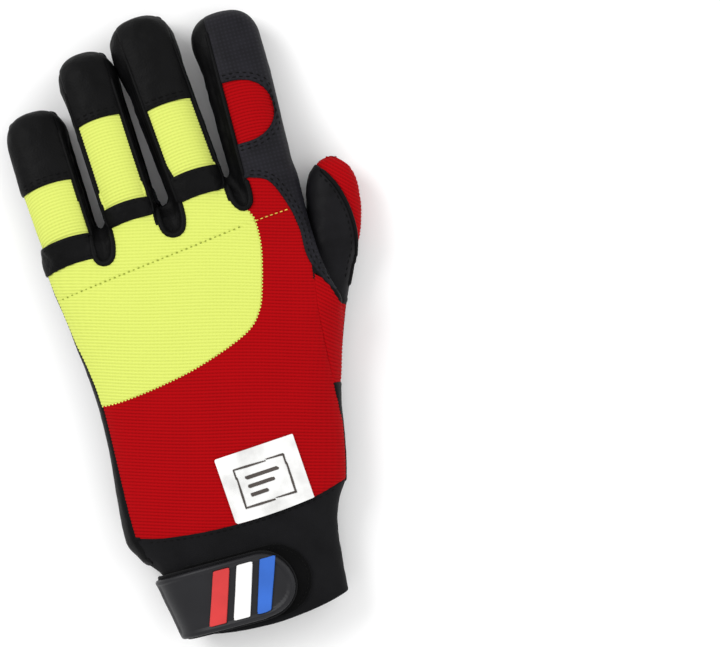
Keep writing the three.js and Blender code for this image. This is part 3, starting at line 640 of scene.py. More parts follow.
def woven(name, colour, pitch, roughness):
    """Coated synthetic with a fine square weave."""
    made, tree, shader = material(name, colour, roughness, Specular_IOR_Level=0.12)
    where = object_coordinates(tree)
    waves = [texture(tree, "ShaderNodeTexWave", where, bands_direction=axis,
                     scale=1000 / pitch / (2 * math.pi), distortion=0.2).outputs["Fac"] for axis in "XY"]
    cross = maths(tree, "MULTIPLY", *waves)
    shade = maths(tree, "MULTIPLY_ADD", cross, 0.5, speckle(tree, where, 120.0))
    tint(tree, shader, shade, *shades(colour, 0.6, 1.4), 0.35, 1.0)
    bump(tree, shader, [(cross, 0.6, 0.00012)])
    return made


def cloth(name, colour, pitch, roughness, sheen, strength=0.5):
    made, tree, shader = material(name, colour, roughness, Sheen_Weight=sheen, Specular_IOR_Level=0.08)
    where = object_coordinates(tree)
    loops = speckle(tree, where, 1000 / pitch, 4.0)
    tint(tree, shader, speckle(tree, where, 80.0), *shades(colour, 0.8, 1.25))
    bump(tree, shader, [(loops, strength, 0.00025)])
    return made


def rubber(name, colour, roughness):
    made, tree, shader = material(name, colour, roughness, Specular_IOR_Level=0.2)
    fine = speckle(tree, object_coordinates(tree), 1800.0, 2.0)
    broad = speckle(tree, object_coordinates(tree), 70.0, 2.0)
    tint(tree, shader, broad, *shades(colour, 0.88, 1.08))
    bump(tree, shader, [(fine, 0.18, 0.00004)])
    return made


RED = knit("red_knit", (0.345, 0.001, 0.003), (0.25, 0.0008, 0.002), 0.0)
YELLOW = knit("yellow_knit", (0.6, 0.67, 0.14), (0.535, 0.605, 0.115), 0.0)
BLACK = leather("black_leather", (0.0027, 0.0027, 0.0029), 0.5, depth=0.5, shine=0.07)
GREY = woven("grey_woven", (0.0088, 0.0084, 0.0115), 0.85, 0.6)
PADDING = woven("pad_woven", (0.011, 0.011, 0.0135), 1.1, 0.6)
THUMB_SKIN = leather("thumb_leather", (0.0052, 0.005, 0.006), 0.5, 0.5, 0.2, shine=0.08)
NEOPRENE = cloth("neoprene_knit", (0.0055, 0.0055, 0.0062), 0.5, 0.85, 0.03)
LOOPS = cloth("loop_pile", (0.0018, 0.0018, 0.0019), 0.9, 0.95, 0.02, 1.0)
BADGE = rubber("badge_rubber", (0.0125, 0.0125, 0.0145), 0.42)
BAR_RED = rubber("bar_red", (0.56, 0.04, 0.04), 0.42)
BAR_WHITE = rubber("bar_white", (0.8, 0.8, 0.79), 0.42)
BAR_BLUE = rubber("bar_blue", (0.03, 0.12, 0.48), 0.42)
LABEL = cloth("label_cloth", (0.74, 0.74, 0.73), 0.35, 0.6, 0.0, 0.15)
INK = cloth("label_ink", (0.07, 0.06, 0.055), 0.35, 0.6, 0.0, 0.1)
BLACK_THREAD = cloth("black_thread", (0.003, 0.003, 0.003), 0.3, 0.7, 0.0, 0.4)
YELLOW_THREAD = cloth("yellow_thread", (0.72, 0.5, 0.09), 0.3, 0.5, 0.0, 0.4)
OVERLOCK = cloth("overlock_thread", (0.66, 0.74, 0.15), 0.3, 0.6, 0.0, 0.4)
# Dark olive dots for the needle holes on the bright panel: painted shade.
HOLE_SHADE = cloth("hole_shade", (0.26, 0.3, 0.03), 0.3, 0.6, 0.0, 0.4)

# Panel outlines in plan, in per cent of the palm's width and length
LEFT_EDGE = [(-41.2, -8), (-41.6, 8), (-41, 25), (-40.6, 43), (-41.8, 54), (-44.6, 66), (-46.8, 78),
             (-49, 90)]
RIGHT_EDGE = [(49.8, 88), (51.6, 78), (52.3, 71), (51.4, 65.5), (49.9, 57), (48.9, 48), (48.2, 38),
              (48.2, 30), (47.8, 20), (47.4, 12), (45, 3), (42, -8)]
BRIGHT_EDGE = [(-41.8, 42.9), (-33.5, 42.7), (-21, 43.7), (-4.5, 46.2), (10.6, 50), (21.9, 54.2),
               (27.3, 58.9), (30.6, 65.4), (34.3, 77.8), (34.8, 86.9), (33.4, 90.4)]
CUFF_SEAM = [(42, 0.6), (28, -2.2), (8, -3.8), (-12, -3.8), (-30, -2.4), (-40.5, -0.8)]
CUFF_CORNER = [(-39.8, -5.5), (-38.2, -9.2), (-60, -11.5)]
GUSSET_SEAM = [(50.8, 69), (50.2, 61.4), (49.1, 53.8), (48.5, 44), (47.3, 30.7)]
WRAP_EDGE = [(36.6, 101), (43.6, 98.3), (47.9, 90.5), (50.2, 82), (50.4, 72), (53.6, 64.9), (57, 59.6)]
THUMB_SEAM = [(61.5, 101), (64.2, 98.3), (68.2, 92.5), (70.2, 87), (71.1, 81.5), (70.8, 75), (68.6, 68.7),
              (65.2, 62.3), (61.4, 56)]
NEEDLE_LINE = [(-44.9, 78.9), (-20, 81.4), (10, 84.4), (34.5, 87), (47.5, 88)]

BACK = np.vstack([spline(plan(LEFT_EDGE)), plan([(-50, 108), (60, 110)]), spline(plan(RIGHT_EDGE))])
BRIGHT = np.vstack([plan([(-60, 42.8)]), spline(plan(BRIGHT_EDGE)), plan([(31, 98), (30, 130), (-60, 130)])])
CUFF = np.vstack([plan([(-120, -120), (120, -120), (120, 1)]), spline(plan(CUFF_SEAM + CUFF_CORNER[:2])),
                  plan(CUFF_CORNER[2:])])
GUSSET = np.vstack([spline(plan(GUSSET_SEAM)),
                    plan([(60, 29.5), (70, 54), (58.9, 55.3), (56.4, 61.6), (53.4, 65.8)])])
THUMB_SIDE = np.vstack([plan([(61.5, 120)]), spline(plan(THUMB_SEAM)),
                        plan([(60, 54), (120, 54), (120, 120)])])
UNDER_GUSSET = GUSSET - (3.0, 0)  # hides the leather below the seam between the two red panels
GUSSET_HEIGHT = 9.0

INDEX = FINGERS["index"]
INDEX_SEAM = INDEX["back"][0] * INDEX["width"] / 2
WRAP = np.vstack([
    finger_plan(INDEX, INDEX_SEAM, np.array([1.2, 0.245]) * INDEX["length"]),
    spline(plan(WRAP_EDGE)),
    plan([(58.4, 59.4), (58, 66), (57, 82), (57, 100)]),
    finger_plan(INDEX, INDEX["width"], np.array([0.5, 1.2]) * INDEX["length"]),
])


# Regions: above 0 inside, about the distance to their edge in millimetres
def both(*fields):
    return lambda points: np.minimum.reduce([f(points) for f in fields])


def either(*fields):
    return lambda points: np.maximum.reduce([f(points) for f in fields])


def outside(field, overlap=0.0):
    return lambda points: overlap - field(points)


def within(poly):
    return lambda points: signed(poly, points)


def oblong(left, right, low, high):
    return np.array([(left, low), (right, low), (right, high), (left, high)])


def higher(level):
    return lambda points: points[:, 2] - level


def lower(level):
    return lambda points: level - points[:, 2]


def on_back(*fields):
    """Where fields overlap above the height of the side seams."""
    return both(*fields, higher(SEAM_HEIGHT))


def on_palm(*fields):
    return both(*fields, lower(SEAM_HEIGHT))


def cross_arch(finger, across):
    """How far the finger's cross seams bow towards the tip."""
    return 2.6 * (1 - np.clip(across / (0.62 * finger["width"]), -1, 1) ** 2)


def strip(finger, sides, low, high, beyond=0.0):
    """A strip of a finger, its sides in shares of half the width and its ends in shares of the length."""
    def field(points):
        across, along = finger_place(finger, points[:, 0], points[:, 1])
        half, length = finger["width"] / 2, finger["length"]
        along = along - cross_arch(finger, across)
        return np.minimum.reduce([across - sides[0] * half + beyond, sides[1] * half - across + beyond,
                                  along - low * length, high * length - along])
    return field


D_REACH = 11.9  # how far across the index finger the seams of an opening run at most


def d_shape(low, high, reach):
    """Centre across and along, and the two half axes of a D-shaped opening that is flat at the index seam."""
    centre = INDEX_SEAM + 4
    return centre, (low + high) / 2 * INDEX["length"], reach * INDEX["width"] - centre, \
        (high - low) / 2 * INDEX["length"]


def d_window(low, high, reach):
    centre, middle, width, half = d_shape(low, high, reach)

    def field(points):
        across, along = finger_place(INDEX, points[:, 0], points[:, 1])
        x, y = np.clip(across - centre, 0, None) / width, (along - middle) / half
        n = (x ** 2.2 + np.abs(y) ** 2.2) ** (1 / 2.2)
        return np.minimum((1 - n) * min(width, half), across - INDEX_SEAM + 1)
    return field


def d_line(low, high, reach, away):
    """The edge of a D-shaped opening moved outwards."""
    centre, middle, width, half = d_shape(low, high, reach)
    angle = np.linspace(-math.pi / 2, math.pi / 2, 40)
    bent = lambda v: np.sign(v) * np.abs(v) ** (2 / 2.2)
    arc = np.minimum(centre + (width + away) * bent(np.cos(angle)), D_REACH + 0.3 * away)
    across = np.concatenate([[INDEX_SEAM + 1], arc, [INDEX_SEAM + 1]])
    along = np.concatenate([[-1], bent(np.sin(angle)), [1]]) * (half + away) + middle
    return finger_plan(INDEX, across, along)


BACK_WINDOW = (0.405, 0.685, 0.44)
TIP_CREASE, BASE_CREASE = (0.58, 0.69, 0.4), (0.37, 0.47, 0.34)
NAMES = ("little", "ring", "middle")
heel_corner = oblong(-60, -44.6, -16, -1.2)
back_side = on_back(within(BACK), outside(within(heel_corner)))
gusset_side = both(within(GUSSET), higher(GUSSET_HEIGHT))
open_window = on_back(d_window(*BACK_WINDOW))
open_creases = {"tip": on_palm(d_window(*TIP_CREASE)), "base": on_palm(d_window(*BASE_CREASE))}
finger_strips = [strip(FINGERS[n], FINGERS[n]["back"], FINGERS[n]["band"][0], 1.3) for n in NAMES]

# The fourchettes' looped ends on the back
WEDGES = {
    ("little", "ring"): [(-27.5, 104), (-27.8, 94), (-28, 90), (-26.8, 87.2), (-24.2, 86.2), (-21.4, 87.5),
                         (-20.1, 91), (-19.7, 95), (-19.5, 104)],
    ("ring", "middle"): [(0.6, 106), (-0.4, 97), (0, 92.2), (1.6, 90), (4, 89.2), (7, 90.2), (8.6, 93.6),
                         (9, 98), (9.6, 106)],
    ("middle", "index"): [(27.6, 108), (28, 99), (28.6, 95), (30.4, 92.4), (32.6, 91.8), (34.8, 93.2),
                          (35.6, 96.6), (35.6, 100), (35.2, 108)],
}

CROTCHES = {("little", "ring"): 95, ("ring", "middle"): 98, ("middle", "index"): 99.5}


def fourchette(first, second):
    a, b, low = FINGERS[first], FINGERS[second], CROTCHES[first, second] / 100 * PALM_LENGTH

    def between(points):
        right_of, _ = finger_place(a, points[:, 0], points[:, 1])
        left_of, _ = finger_place(b, points[:, 0], points[:, 1])
        upper = np.minimum(right_of - a["back"][1] * a["width"] / 2, b["back"][0] * b["width"] / 2 - left_of)
        under = np.minimum(right_of - a["palm"][1] * a["width"] / 2, b["palm"][0] * b["width"] / 2 - left_of)
        side = np.where(points[:, 2] > SEAM_HEIGHT - 1, upper, under)
        return np.minimum(side + 0.4, points[:, 1] - low + 6)
    return between


def groove(points, line, depth, width):
    """A dent along a line in plan."""
    steps = np.diff(line, axis=0)
    near = np.full(len(points), 1e9)
    for start, step in zip(line, steps):
        t = np.clip(((points[:, :2] - start) @ step) / (step @ step), 0, 1)
        near = np.minimum(near, np.hypot(*(points[:, :2] - start - t[:, None] * step).T))
    return depth * np.exp(-(near / width) ** 2)


# Stretch panels with their ribs
def ribbed(form, name, centre, rib, cross, rows, columns, spread, field, finish, nodes, arch=0.0, lift=0.0,
           dents=()):
    """Ribs run along `rib`, one after another along `cross`, over rays that fan out from a middle line."""
    place = np.arange(math.floor(rows[0] / RIB_PITCH), math.ceil(rows[1] / RIB_PITCH))[:, None]
    t = ((place + np.array([0.0, 0.2, 0.5, 0.8])) * RIB_PITCH).ravel()
    s = np.arange(columns[0], columns[1] + 0.1, 1.6)
    tt, ss = np.meshgrid(t, s, indexing="ij")
    flat = np.clip(ss, *spread)
    angle = np.clip((ss - flat) / 12.0, -2.2, 3.1)
    shifted = tt - arch * np.clip(np.abs(ss) / 12, 0, 1.3) ** 2 + 0.5 * np.sin(ss / 13 + tt / 31)
    origin = np.stack([centre[0] + flat * rib[0] + shifted * cross[0],
                       centre[1] + flat * rib[1] + shifted * cross[1], np.full(tt.shape, centre[2])], -1)
    way = np.stack([np.sin(angle) * rib[0], np.sin(angle) * rib[1], np.cos(angle)], -1)
    points = form.hit(origin, way).reshape(-1, 3)
    height = RIB_HEIGHT * np.sin(np.pi * ((tt / RIB_PITCH) % 1)).ravel() ** 0.7
    data = np.column_stack([points, height, ss.ravel(), tt.ravel()])
    stray = (0.6 - np.abs(form.at(points))) * 50  # below 0 where a ray began outside the form
    data, faces, _ = cut(data, grid_faces(len(t), len(s)), np.minimum(field(points), stray))
    data, faces, _ = cut(data, faces, field(data[:, :3]) - 0.6, True)
    points, height, weave = data[:, :3], data[:, 3], data[:, 4:6]
    edge = np.maximum(field(points), 0)
    normals = form.normals(points)
    top = lift - 0.3 + pillow(edge, 0.3, 0.8) + height * np.clip(edge / 1.1, 0.1, 1)
    top = top + 0.1 * noise(points, 14.0, 1) * ease(0, 4, edge)
    for line, depth, width in dents:
        top = top - groove(points, line, depth, width)
    outer, closed = shell(points, faces, normals, top, FABRIC)
    return add(name, outer, closed, finish, nodes,
               np.vstack([weave, weave]))


def rib_frame(start, end, height, low, high, columns, half_spread):
    """Rays from a middle line in plan, with ribs across it."""
    way = np.subtract(end, start)
    way = way / np.hypot(*way)
    return dict(centre=(*start, height), rib=(way[1], -way[0]), cross=(way[0], way[1]), rows=(low, high),
                columns=columns, spread=(-half_spread, half_spread))


needle_line = spline(plan(NEEDLE_LINE), 4)
hand_frame = dict(centre=(2, 60, 21), rib=(math.cos(PHOTO_TURN), -math.sin(PHOTO_TURN)),
                  cross=(math.sin(PHOTO_TURN), math.cos(PHOTO_TURN)), rows=(-90, 90), columns=(-62, 66),
                  spread=(-36, 36))
under_bands = [outside(field, 1.2) for field in finger_strips]
under_loops = [outside(within(spline(plan(wedge))), 1.0) for wedge in WEDGES.values()]
under_loops += [outside(fourchette(*pair), 1.0) for pair in WEDGES]
bright_side = both(back_side, within(BRIGHT), outside(within(WRAP), 1.2), *under_bands, *under_loops)
ribbed(body, "bright_panel", field=bright_side, lift=0.45, finish=YELLOW, nodes=["bright_panel"],
       dents=[(needle_line, 0.35, 0.7)], **hand_frame)
main_side = both(back_side, outside(within(BRIGHT), 0.8), outside(within(CUFF), 0.4),
                 outside(within(WRAP), 1.2), *under_loops)
ribbed(body, "back_panel", field=main_side, lift=0.1, finish=RED, nodes=["back_panel"],
       dents=[(needle_line, 0.35, 0.7)], **hand_frame)
GUSSET_RIB = math.radians(43)
slant = (math.cos(GUSSET_RIB), -math.sin(GUSSET_RIB))


def slanted(start, end):
    """A step along a middle line in plan from one slanted rib to the next, for a pitch of 1."""
    way = np.subtract(end, start)
    return way / (way[0] * -slant[1] + way[1] * slant[0])


# The gusset's rays reach down round the side
ribbed(body, "thumb_gusset", field=both(gusset_side, outside(within(WRAP), 1.2)), lift=0.1, finish=RED,
       nodes=["thumb_gusset"], centre=(53.5, 64, 20), rib=slant, cross=slanted((52, 40), (55, 92)),
       rows=(-26, 28), columns=(-14, 40), spread=(-2, 2))
ribbed(thumb, "thumb_back", field=both(within(THUMB_SIDE), higher(2)), lift=0.0, finish=RED,
       nodes=["thumb_back"], centre=(56.8, 79, 12), rib=slant, cross=slanted((56.8, 79), (76.7, 134.7)),
       rows=(-14, 64), columns=(-30, 34), spread=(-3, 3))


def finger_frame(finger, low, high):
    start = finger_plan(finger, 0.0, 0.0)
    end = finger_plan(finger, 0.0, 1.0)
    length = finger["length"]
    return dict(arch=1.6, **rib_frame(start, end, 15.5, low * length - 4, high * length + 4, (-26, 26), 4))


for name in NAMES:
    finger = FINGERS[name]
    low, high = finger["band"][1] - 0.012, finger["cap"] + 0.012
    ribbed(body, f"stretch_window_{name}", field=on_back(strip(finger, finger["back"], low, high, 0.8)),
           finish=YELLOW, nodes=[f"stretch_window_{name}"], **finger_frame(finger, low, high))
ribbed(body, "stretch_window_index", field=lambda points: open_window(points) + 0.8, lift=-0.2, finish=RED,
       nodes=["stretch_window_index"], **finger_frame(INDEX, BACK_WINDOW[0], BACK_WINDOW[1]))


# Leather, foam and rubber panels
def wrinkled(points, amount, size):
    """Soft creases."""
    ridge = 1 - np.abs(noise(points, size, 2))
    return amount * (ridge - 0.5) + 0.5 * amount * noise(points, size * 0.4, 3)


def sewn(name, form, field, finish, height=1.15, fold=0.45, amount=0.15, size=7.0, thickness=1.7,
         shape=None):
    """A panel whose edge is folded over: it rises by `fold` from its edge to its height above the surface."""
    points, faces, normals, edge = panel(form, field, (0.25, 0.7, 1.5))
    top = height - fold + pillow(edge, fold, 1.0) + wrinkled(points, amount, size) * ease(0, 2.5, edge)
    if shape:
        top = top + shape(points, edge)
    outer, closed = shell(points, faces, normals, top, thickness)
    return add(name, outer, closed, finish, [name])


def laid(name, field, low, high, finish, rim=0.4, shape=None, nodes=None):
    """A flat piece on the outside, from one height above the surface to another."""
    points, faces, normals, edge = panel(body, field, (rim / 2, rim, 1.6, 3.0))
    top = high - rim + pillow(edge, rim, rim)
    if shape:
        top = top + shape(points, edge)
    outer, closed = shell(points, faces, normals, top, top - low)
    return add(name, outer, closed, finish, [name] if nodes is None else nodes)


for name in NAMES:
    finger = FINGERS[name]
    sides = finger["back"]
    sewn(f"fingertip_cap_{name}", body, on_back(strip(finger, sides, finger["cap"], 1.3)), BLACK,
         amount=0.22)
    sewn(f"knuckle_band_{name}", body, on_back(strip(finger, sides, *finger["band"])), BLACK,
         height=1.35, amount=0.3, size=5.0)


# Fourchettes between the fingers
def fourchette_hollow(first, second):
    """How a strip sinks between its seams and leaves a slit between two fingers, but not at their tips."""
    pair = [FINGERS[first], FINGERS[second]]

    def shape(points, edge):
        (left, up), (right, along) = (finger_place(f, points[:, 0], points[:, 1]) for f in pair)
        share = np.where(np.abs(left) < np.abs(right), up / pair[0]["length"], along / pair[1]["length"])
        return (-1.2 * ease(0.8, 2.4, edge) - 0.8 * ease(2.6, 4.2, edge)) * (1 - ease(0.72, 0.9, share))
    return shape


for (first, second), wedge in WEDGES.items():
    line = spline(plan(wedge))
    loop = within(np.vstack([line, (line[0] + line[-1]) / 2 + (0, 18)]))
    sewn(f"fourchette_{first}_{second}", body, either(fourchette(first, second), on_back(loop)), BLACK,
         height=0.9, amount=0.2, shape=fourchette_hollow(first, second))

# Index wrap and its windows
openings = [outside(field) for field in (open_window, *open_creases.values())]
sewn("index_wrap", body, both(within(WRAP), *openings), GREY, height=0.95, amount=0.08,
     size=9.0)
for end, field in open_creases.items():
    sewn(f"index_crease_{end}", body, lambda points, field=field: field(points) + 0.8, BLACK,
         height=0.3, thickness=1.4)

# Palm leather: all that the other panels leave, with rolled edges
palm_side = both(outside(within(CUFF), 1.2), outside(within(WRAP), 0.8), outside(back_side, 1.0),
                 outside(both(either(within(GUSSET), within(UNDER_GUSSET)), higher(GUSSET_HEIGHT)), 1.0),
                 *[outside(on_back(field), 0.8) for field in finger_strips],
                 *[outside(fourchette(*pair), 1.2) for pair in WEDGES])
sewn("palm_leather", body, palm_side, BLACK, height=0.4, amount=0.12,
     shape=lambda points, edge: 0.4 * np.exp(-((edge - 1.6) / 1.5) ** 2))


# Cuff, open at the wrist
def hem(points):
    """Distance inside the cuff's curved hem."""
    return points[:, 1] + CUFF_LENGTH + 1 - 0.0035 * points[:, 0] ** 2


sewn("cuff", body, both(within(CUFF), hem), NEOPRENE, height=0.2, fold=0.8,
     amount=0.12, thickness=2.0)

# Thumb
def past_root(points):
    """Distance beyond the line where the thumb leaves the hand."""
    return points[:, 1] - 75.6 + 0.15 * (points[:, 0] - 60)


sewn("thumb_leather", thumb, both(outside(within(THUMB_SIDE)), past_root), THUMB_SKIN,
     height=0.6, amount=0.14)

# Palm pads and finger patches
PADS = {
    "upper_palm": [(-39.5, 76.8), (7.6, 74.9), (44, 76.4), (48.6, 80), (48.8, 86), (43.4, 92.4), (35, 94.2),
                   (27.8, 99.2), (22.2, 108.7), (17.3, 111), (13.6, 107.6), (12.9, 97.9), (8.3, 93.9),
                   (2.4, 96.4), (-1.5, 107), (-6.6, 110), (-11.3, 102.6), (-12.9, 92.7), (-18.7, 90.1),
                   (-26.2, 96.1), (-30.8, 103.6), (-35.2, 105.3), (-39, 102.5), (-41, 92), (-41.5, 82)],
    "hypothenar": [(-39, 68), (-33.1, 71.4), (-14.2, 72.4), (5.5, 72), (9, 69.2), (6.5, 63), (-2, 51.3),
                   (-7, 36.4), (-9.4, 22.9), (-13.3, 19.9), (-18.8, 18.4), (-25.1, 18.7), (-33, 24),
                   (-37, 44)],
    "thenar": [(13.4, 71.5), (18, 73), (31.3, 73), (40.5, 69.5), (43.5, 65.5), (42.4, 61), (37.6, 46),
               (30.9, 27), (27.5, 20.4), (14.2, 16.7), (0.6, 15.7), (-5.7, 19.1), (-4.1, 30.7), (-0.4, 43.6),
               (8, 55.6), (11.8, 65.1)],
    "tip_thumb": [(59, 79.8), (64, 77.5), (67.5, 80), (67.4, 86), (66.2, 92.5), (63, 94), (59.6, 91.5),
                  (57.4, 86)],
}
PATCHES = {"tip_little": ("little", 0.63, 0.95), "tip_ring": ("ring", 0.66, 0.96),
           "middle_ring": ("ring", 0.44, 0.58), "tip_middle": ("middle", 0.6, 0.96),
           "middle_middle": ("middle", 0.405, 0.53)}


def padding(name, form, field):
    pad = sewn(f"pad_{name}", form, on_palm(field), PADDING, height=1.5, fold=0.8,
               amount=0.05, thickness=1.4)


pad_rims = {name: spline(plan(outline), 6, closed=True) for name, outline in PADS.items()}
for name, rim in pad_rims.items():
    padding(name, thumb if name == "tip_thumb" else body, within(rim))
for name, (owner, low, high) in PATCHES.items():
    finger = FINGERS[owner]
    sides = (max(finger["palm"][0], -0.84) + 0.09, finger["palm"][1] - 0.09)
    padding(name, body, strip(finger, sides, low, high))

# Wrist strap over its loop tape, with a moulded badge
STRAP_LOW, STRAP_HIGH, STRAP_TIP = -48.5, -18.5, 16.24
TAPE_LEFT, TAPE_TIP, STRAP_FOOT = -29.1, 22.96, -10.0
BAR_LEFT, BAR_WIDTH, BAR_STEP, BAR_SLANT, BAR_INSET = -23.5, 7.0, 10.0, 7.0, 3.6


def tongue(left, right, low, high):
    """A strip's outline with a round right end."""
    radius = (high - low) / 2
    angle = np.linspace(-math.pi / 2, math.pi / 2, 24)
    arc = np.stack([right - radius + radius * np.cos(angle), low + radius + radius * np.sin(angle)], -1)
    return np.vstack([[left, low], arc, [left, high]])


laid("loop_tape", on_back(within(tongue(TAPE_LEFT, TAPE_TIP, STRAP_LOW, STRAP_HIGH + 1))), -0.2, 1.3, LOOPS,
     shape=lambda points, edge: 0.15 * noise(points, 1.5, 2))
strap_outline = tongue(-70, STRAP_TIP, STRAP_LOW, STRAP_HIGH)
strap_root = oblong(-70, STRAP_FOOT, STRAP_LOW + 3, STRAP_HIGH - 3)
strap_side = either(on_back(within(strap_outline)), both(within(strap_root), lower(SEAM_HEIGHT + 0.1)))
laid("wrist_strap", strap_side, 1.4, 2.8, NEOPRENE, rim=0.7)


def badge_relief(points, edge):
    """A piped rim and a flat field inside it."""
    return 0.35 * np.exp(-((edge - 1.5) / 0.8) ** 2) - 0.45 * ease(2.2, 3.0, edge)


laid("strap_badge", on_back(lambda points: signed(strap_outline, points) - 0.9), 2.7, 4.7, BADGE,
     rim=0.8, shape=badge_relief)
for i, (colour, finish) in enumerate({"red": BAR_RED, "white": BAR_WHITE, "blue": BAR_BLUE}.items()):
    left = BAR_LEFT + i * BAR_STEP
    low, high = STRAP_LOW + BAR_INSET, STRAP_HIGH - BAR_INSET
    bar = np.array([(left, low), (left + BAR_WIDTH, low), (left + BAR_WIDTH + BAR_SLANT, high),
                    (left + BAR_SLANT, high)])
    laid(f"badge_bar_{colour}", on_back(within(bar)), 4.0, 5.3, finish)

# Label, sewn in at the cuff seam and laid back over the main panel
LABEL_TOP = 1.2
label_edge = on_label(*oblong(0, LABEL_WIDTH, 0, LABEL_LENGTH).T)
label = laid("label", on_back(within(label_edge), outside(within(CUFF))), 0.3, LABEL_TOP, LABEL,
             rim=0.15)
# A plain frame with three bars
PRINT = [(6, 29, 22.6, 23.6), (6, 29, 5.6, 6.6), (6, 7, 5.6, 23.6), (28, 29, 5.6, 23.6), (10, 25, 17.6, 19.2),
         (10, 22, 13.8, 15.4), (10, 18, 10, 11.6)]
for i, mark in enumerate(PRINT):
    laid(f"label_print_{i}", on_back(within(on_label(*oblong(*mark).T))), LABEL_TOP - 0.1, LABEL_TOP + 0.22,
         INK, rim=0.05, nodes=())


# Rolled seams and stitches
def on_surface(form, line, under=False):
    """Points, tangents, normals and sideways vectors along a line in plan."""
    points = form.drape(np.asarray(line, float), under)
    normals = form.normals(points)
    tangents = np.gradient(points, axis=0)
    tangents /= np.maximum(np.linalg.norm(tangents, axis=1, keepdims=True), 1e-6)
    return points, tangents, normals, np.cross(tangents, normals)


def resampled(line, step):
    line = np.asarray(line, float)
    length = np.concatenate([[0], np.cumsum(np.hypot(*np.diff(line, axis=0).T))])
    at = np.arange(step / 2, length[-1], step)
    return np.stack([np.interp(at, length, line[:, k]) for k in (0, 1)], -1)


def beside(line, distance):
    """A line in plan moved to its right, or to its left for a negative distance."""
    way = np.gradient(line, axis=0)
    way /= np.hypot(*way.T)[:, None]
    return line + distance * np.stack([way[:, 1], -way[:, 0]], -1)


def inward(form, line, level, step=0.4):
    """A line in plan whose points move to its right until the form's top lies above a level there."""
    for _ in range(20):
        top = form.drape(line)[:, 2]
        off = (top < level) | (top > OVER_GLOVE)
        line = np.where(off[:, None], beside(line, step), line)
    return line


ROLL_SIDES, STITCH_SIDES = 8, 6


def rolls(name, lines, radius, lift, finish, form=body):
    """Round rolls of leather or piping along lines."""
    parts, faces, start = [], [], 0
    angle = np.linspace(0, 2 * math.pi, ROLL_SIDES, endpoint=False)
    for line in lines:
        line = resampled(line, 0.8)
        points, _, normals, across = on_surface(form, line)
        ends = np.minimum(np.arange(len(line)), np.arange(len(line))[::-1])
        thick = radius * np.sqrt(np.clip(ends / 1.5, 0.02, 1))
        centre = points + normals * lift
        ring = across[:, None] * np.cos(angle)[:, None] + normals[:, None] * np.sin(angle)[:, None]
        parts.append((centre[:, None] + ring * thick[:, None, None]).reshape(-1, 3))
        faces.append(grid_faces(len(line), ROLL_SIDES, True) + start)
        start += len(line) * ROLL_SIDES
    return add(name, np.vstack(parts), np.vstack(faces), finish)


def stitches(name, lines, lift, finish, form=body, under=False, pitch=2.9, length=2.0, radius=0.3):
    """Rows of single stitches along lines, each a small capsule."""
    rows = np.array([(-1.0, 0.3), (-0.7, 0.85), (0.0, 1.0), (0.7, 0.85), (1.0, 0.3)])
    angle = np.linspace(0, 2 * math.pi, STITCH_SIDES, endpoint=False)
    parts, faces, start = [], [], 0
    for line in lines:
        points, ahead, normals, across = on_surface(form, resampled(line, pitch), under)
        sink = lift - 0.35 * np.abs(rows[:, 0]) ** 3
        ring = (across[:, None, None] * np.cos(angle)[:, None]
                + normals[:, None, None] * np.sin(angle)[:, None])
        place = (points[:, None] + ahead[:, None] * rows[:, 0][:, None] * length / 2
                 + normals[:, None] * sink[:, None])
        parts.append((place[:, :, None] + ring * radius * rows[:, 1][:, None, None]).reshape(-1, 3))
        one = grid_faces(len(rows), len(angle), True)
        count = len(rows) * len(angle)
        faces.append((one[None] + np.arange(len(points))[:, None, None] * count + start).reshape(-1, 3))
        start += len(points) * count
    return add(name, np.vstack(parts), np.vstack(faces), finish)


def cross_line(finger, share, shift):
    """A line across a finger's back, level with a seam and moved along by a few millimetres."""
    half = finger["width"] / 2
    left, right = max(finger["back"][0], -0.93), min(finger["back"][1], 0.93)
    across = np.linspace(left * half + 0.8, right * half - 0.8, 30)
    return finger_plan(finger, across, share * finger["length"] + cross_arch(finger, across) + shift)


def side_line(finger, share, low, high):
    along = np.linspace(low, high, 40) * finger["length"]
    return finger_plan(finger, np.full(40, share * finger["width"] / 2), along)


seams = []
for name in NAMES:
    finger = FINGERS[name]
    seams += [cross_line(finger, finger["band"][0], 1.5), cross_line(finger, finger["band"][1], -1.5),
              cross_line(finger, finger["cap"], 1.6), cross_line(finger, finger["cap"], 3.2)]
stitches("finger_stitches", seams, 1.35, BLACK_THREAD)
index_line = spline(plan(WRAP_EDGE))
thumb_line = inward(thumb, beside(spline(plan(THUMB_SEAM)), 0.6)[12:], 9.0)
stitches("index_stitches", [d_line(*BACK_WINDOW, 1.3), d_line(*BACK_WINDOW, 3.0),
                            beside(index_line, -1.3)[:-6], beside(index_line, -3.0)[:-6]], 1.0, BLACK_THREAD)
stitches("thumb_stitches", [beside(thumb_line, 1.9)[2:-10]], 0.65, BLACK_THREAD, form=thumb)
rolls("index_piping", [side_line(INDEX, INDEX["back"][0], 0.26, 0.93)], 0.85, 0.9, BLACK)
rolls("thumb_piping", [thumb_line[:-6]], 1.0, 0.5, BLACK, form=thumb)
rolled_sides = [side_line(FINGERS[n], FINGERS[n]["back"][side], FINGERS[n]["band"][0] + 0.02, 0.86)
                for n, side in (("little", 1), ("ring", 0), ("ring", 1), ("middle", 0), ("middle", 1))]
rolls("finger_rolls", rolled_sides, 0.8, 0.85, BLACK)
loops = [(spline(plan(wedge)), (CROTCHES[pair] + 2) / 100 * PALM_LENGTH) for pair, wedge in WEDGES.items()]
rolls("fourchette_rolls", [line[line[:, 1] < end] for line, end in loops], 1.25, 0.6, BLACK)
needle_turn = 38.6  # where the needle line leaves the bright panel
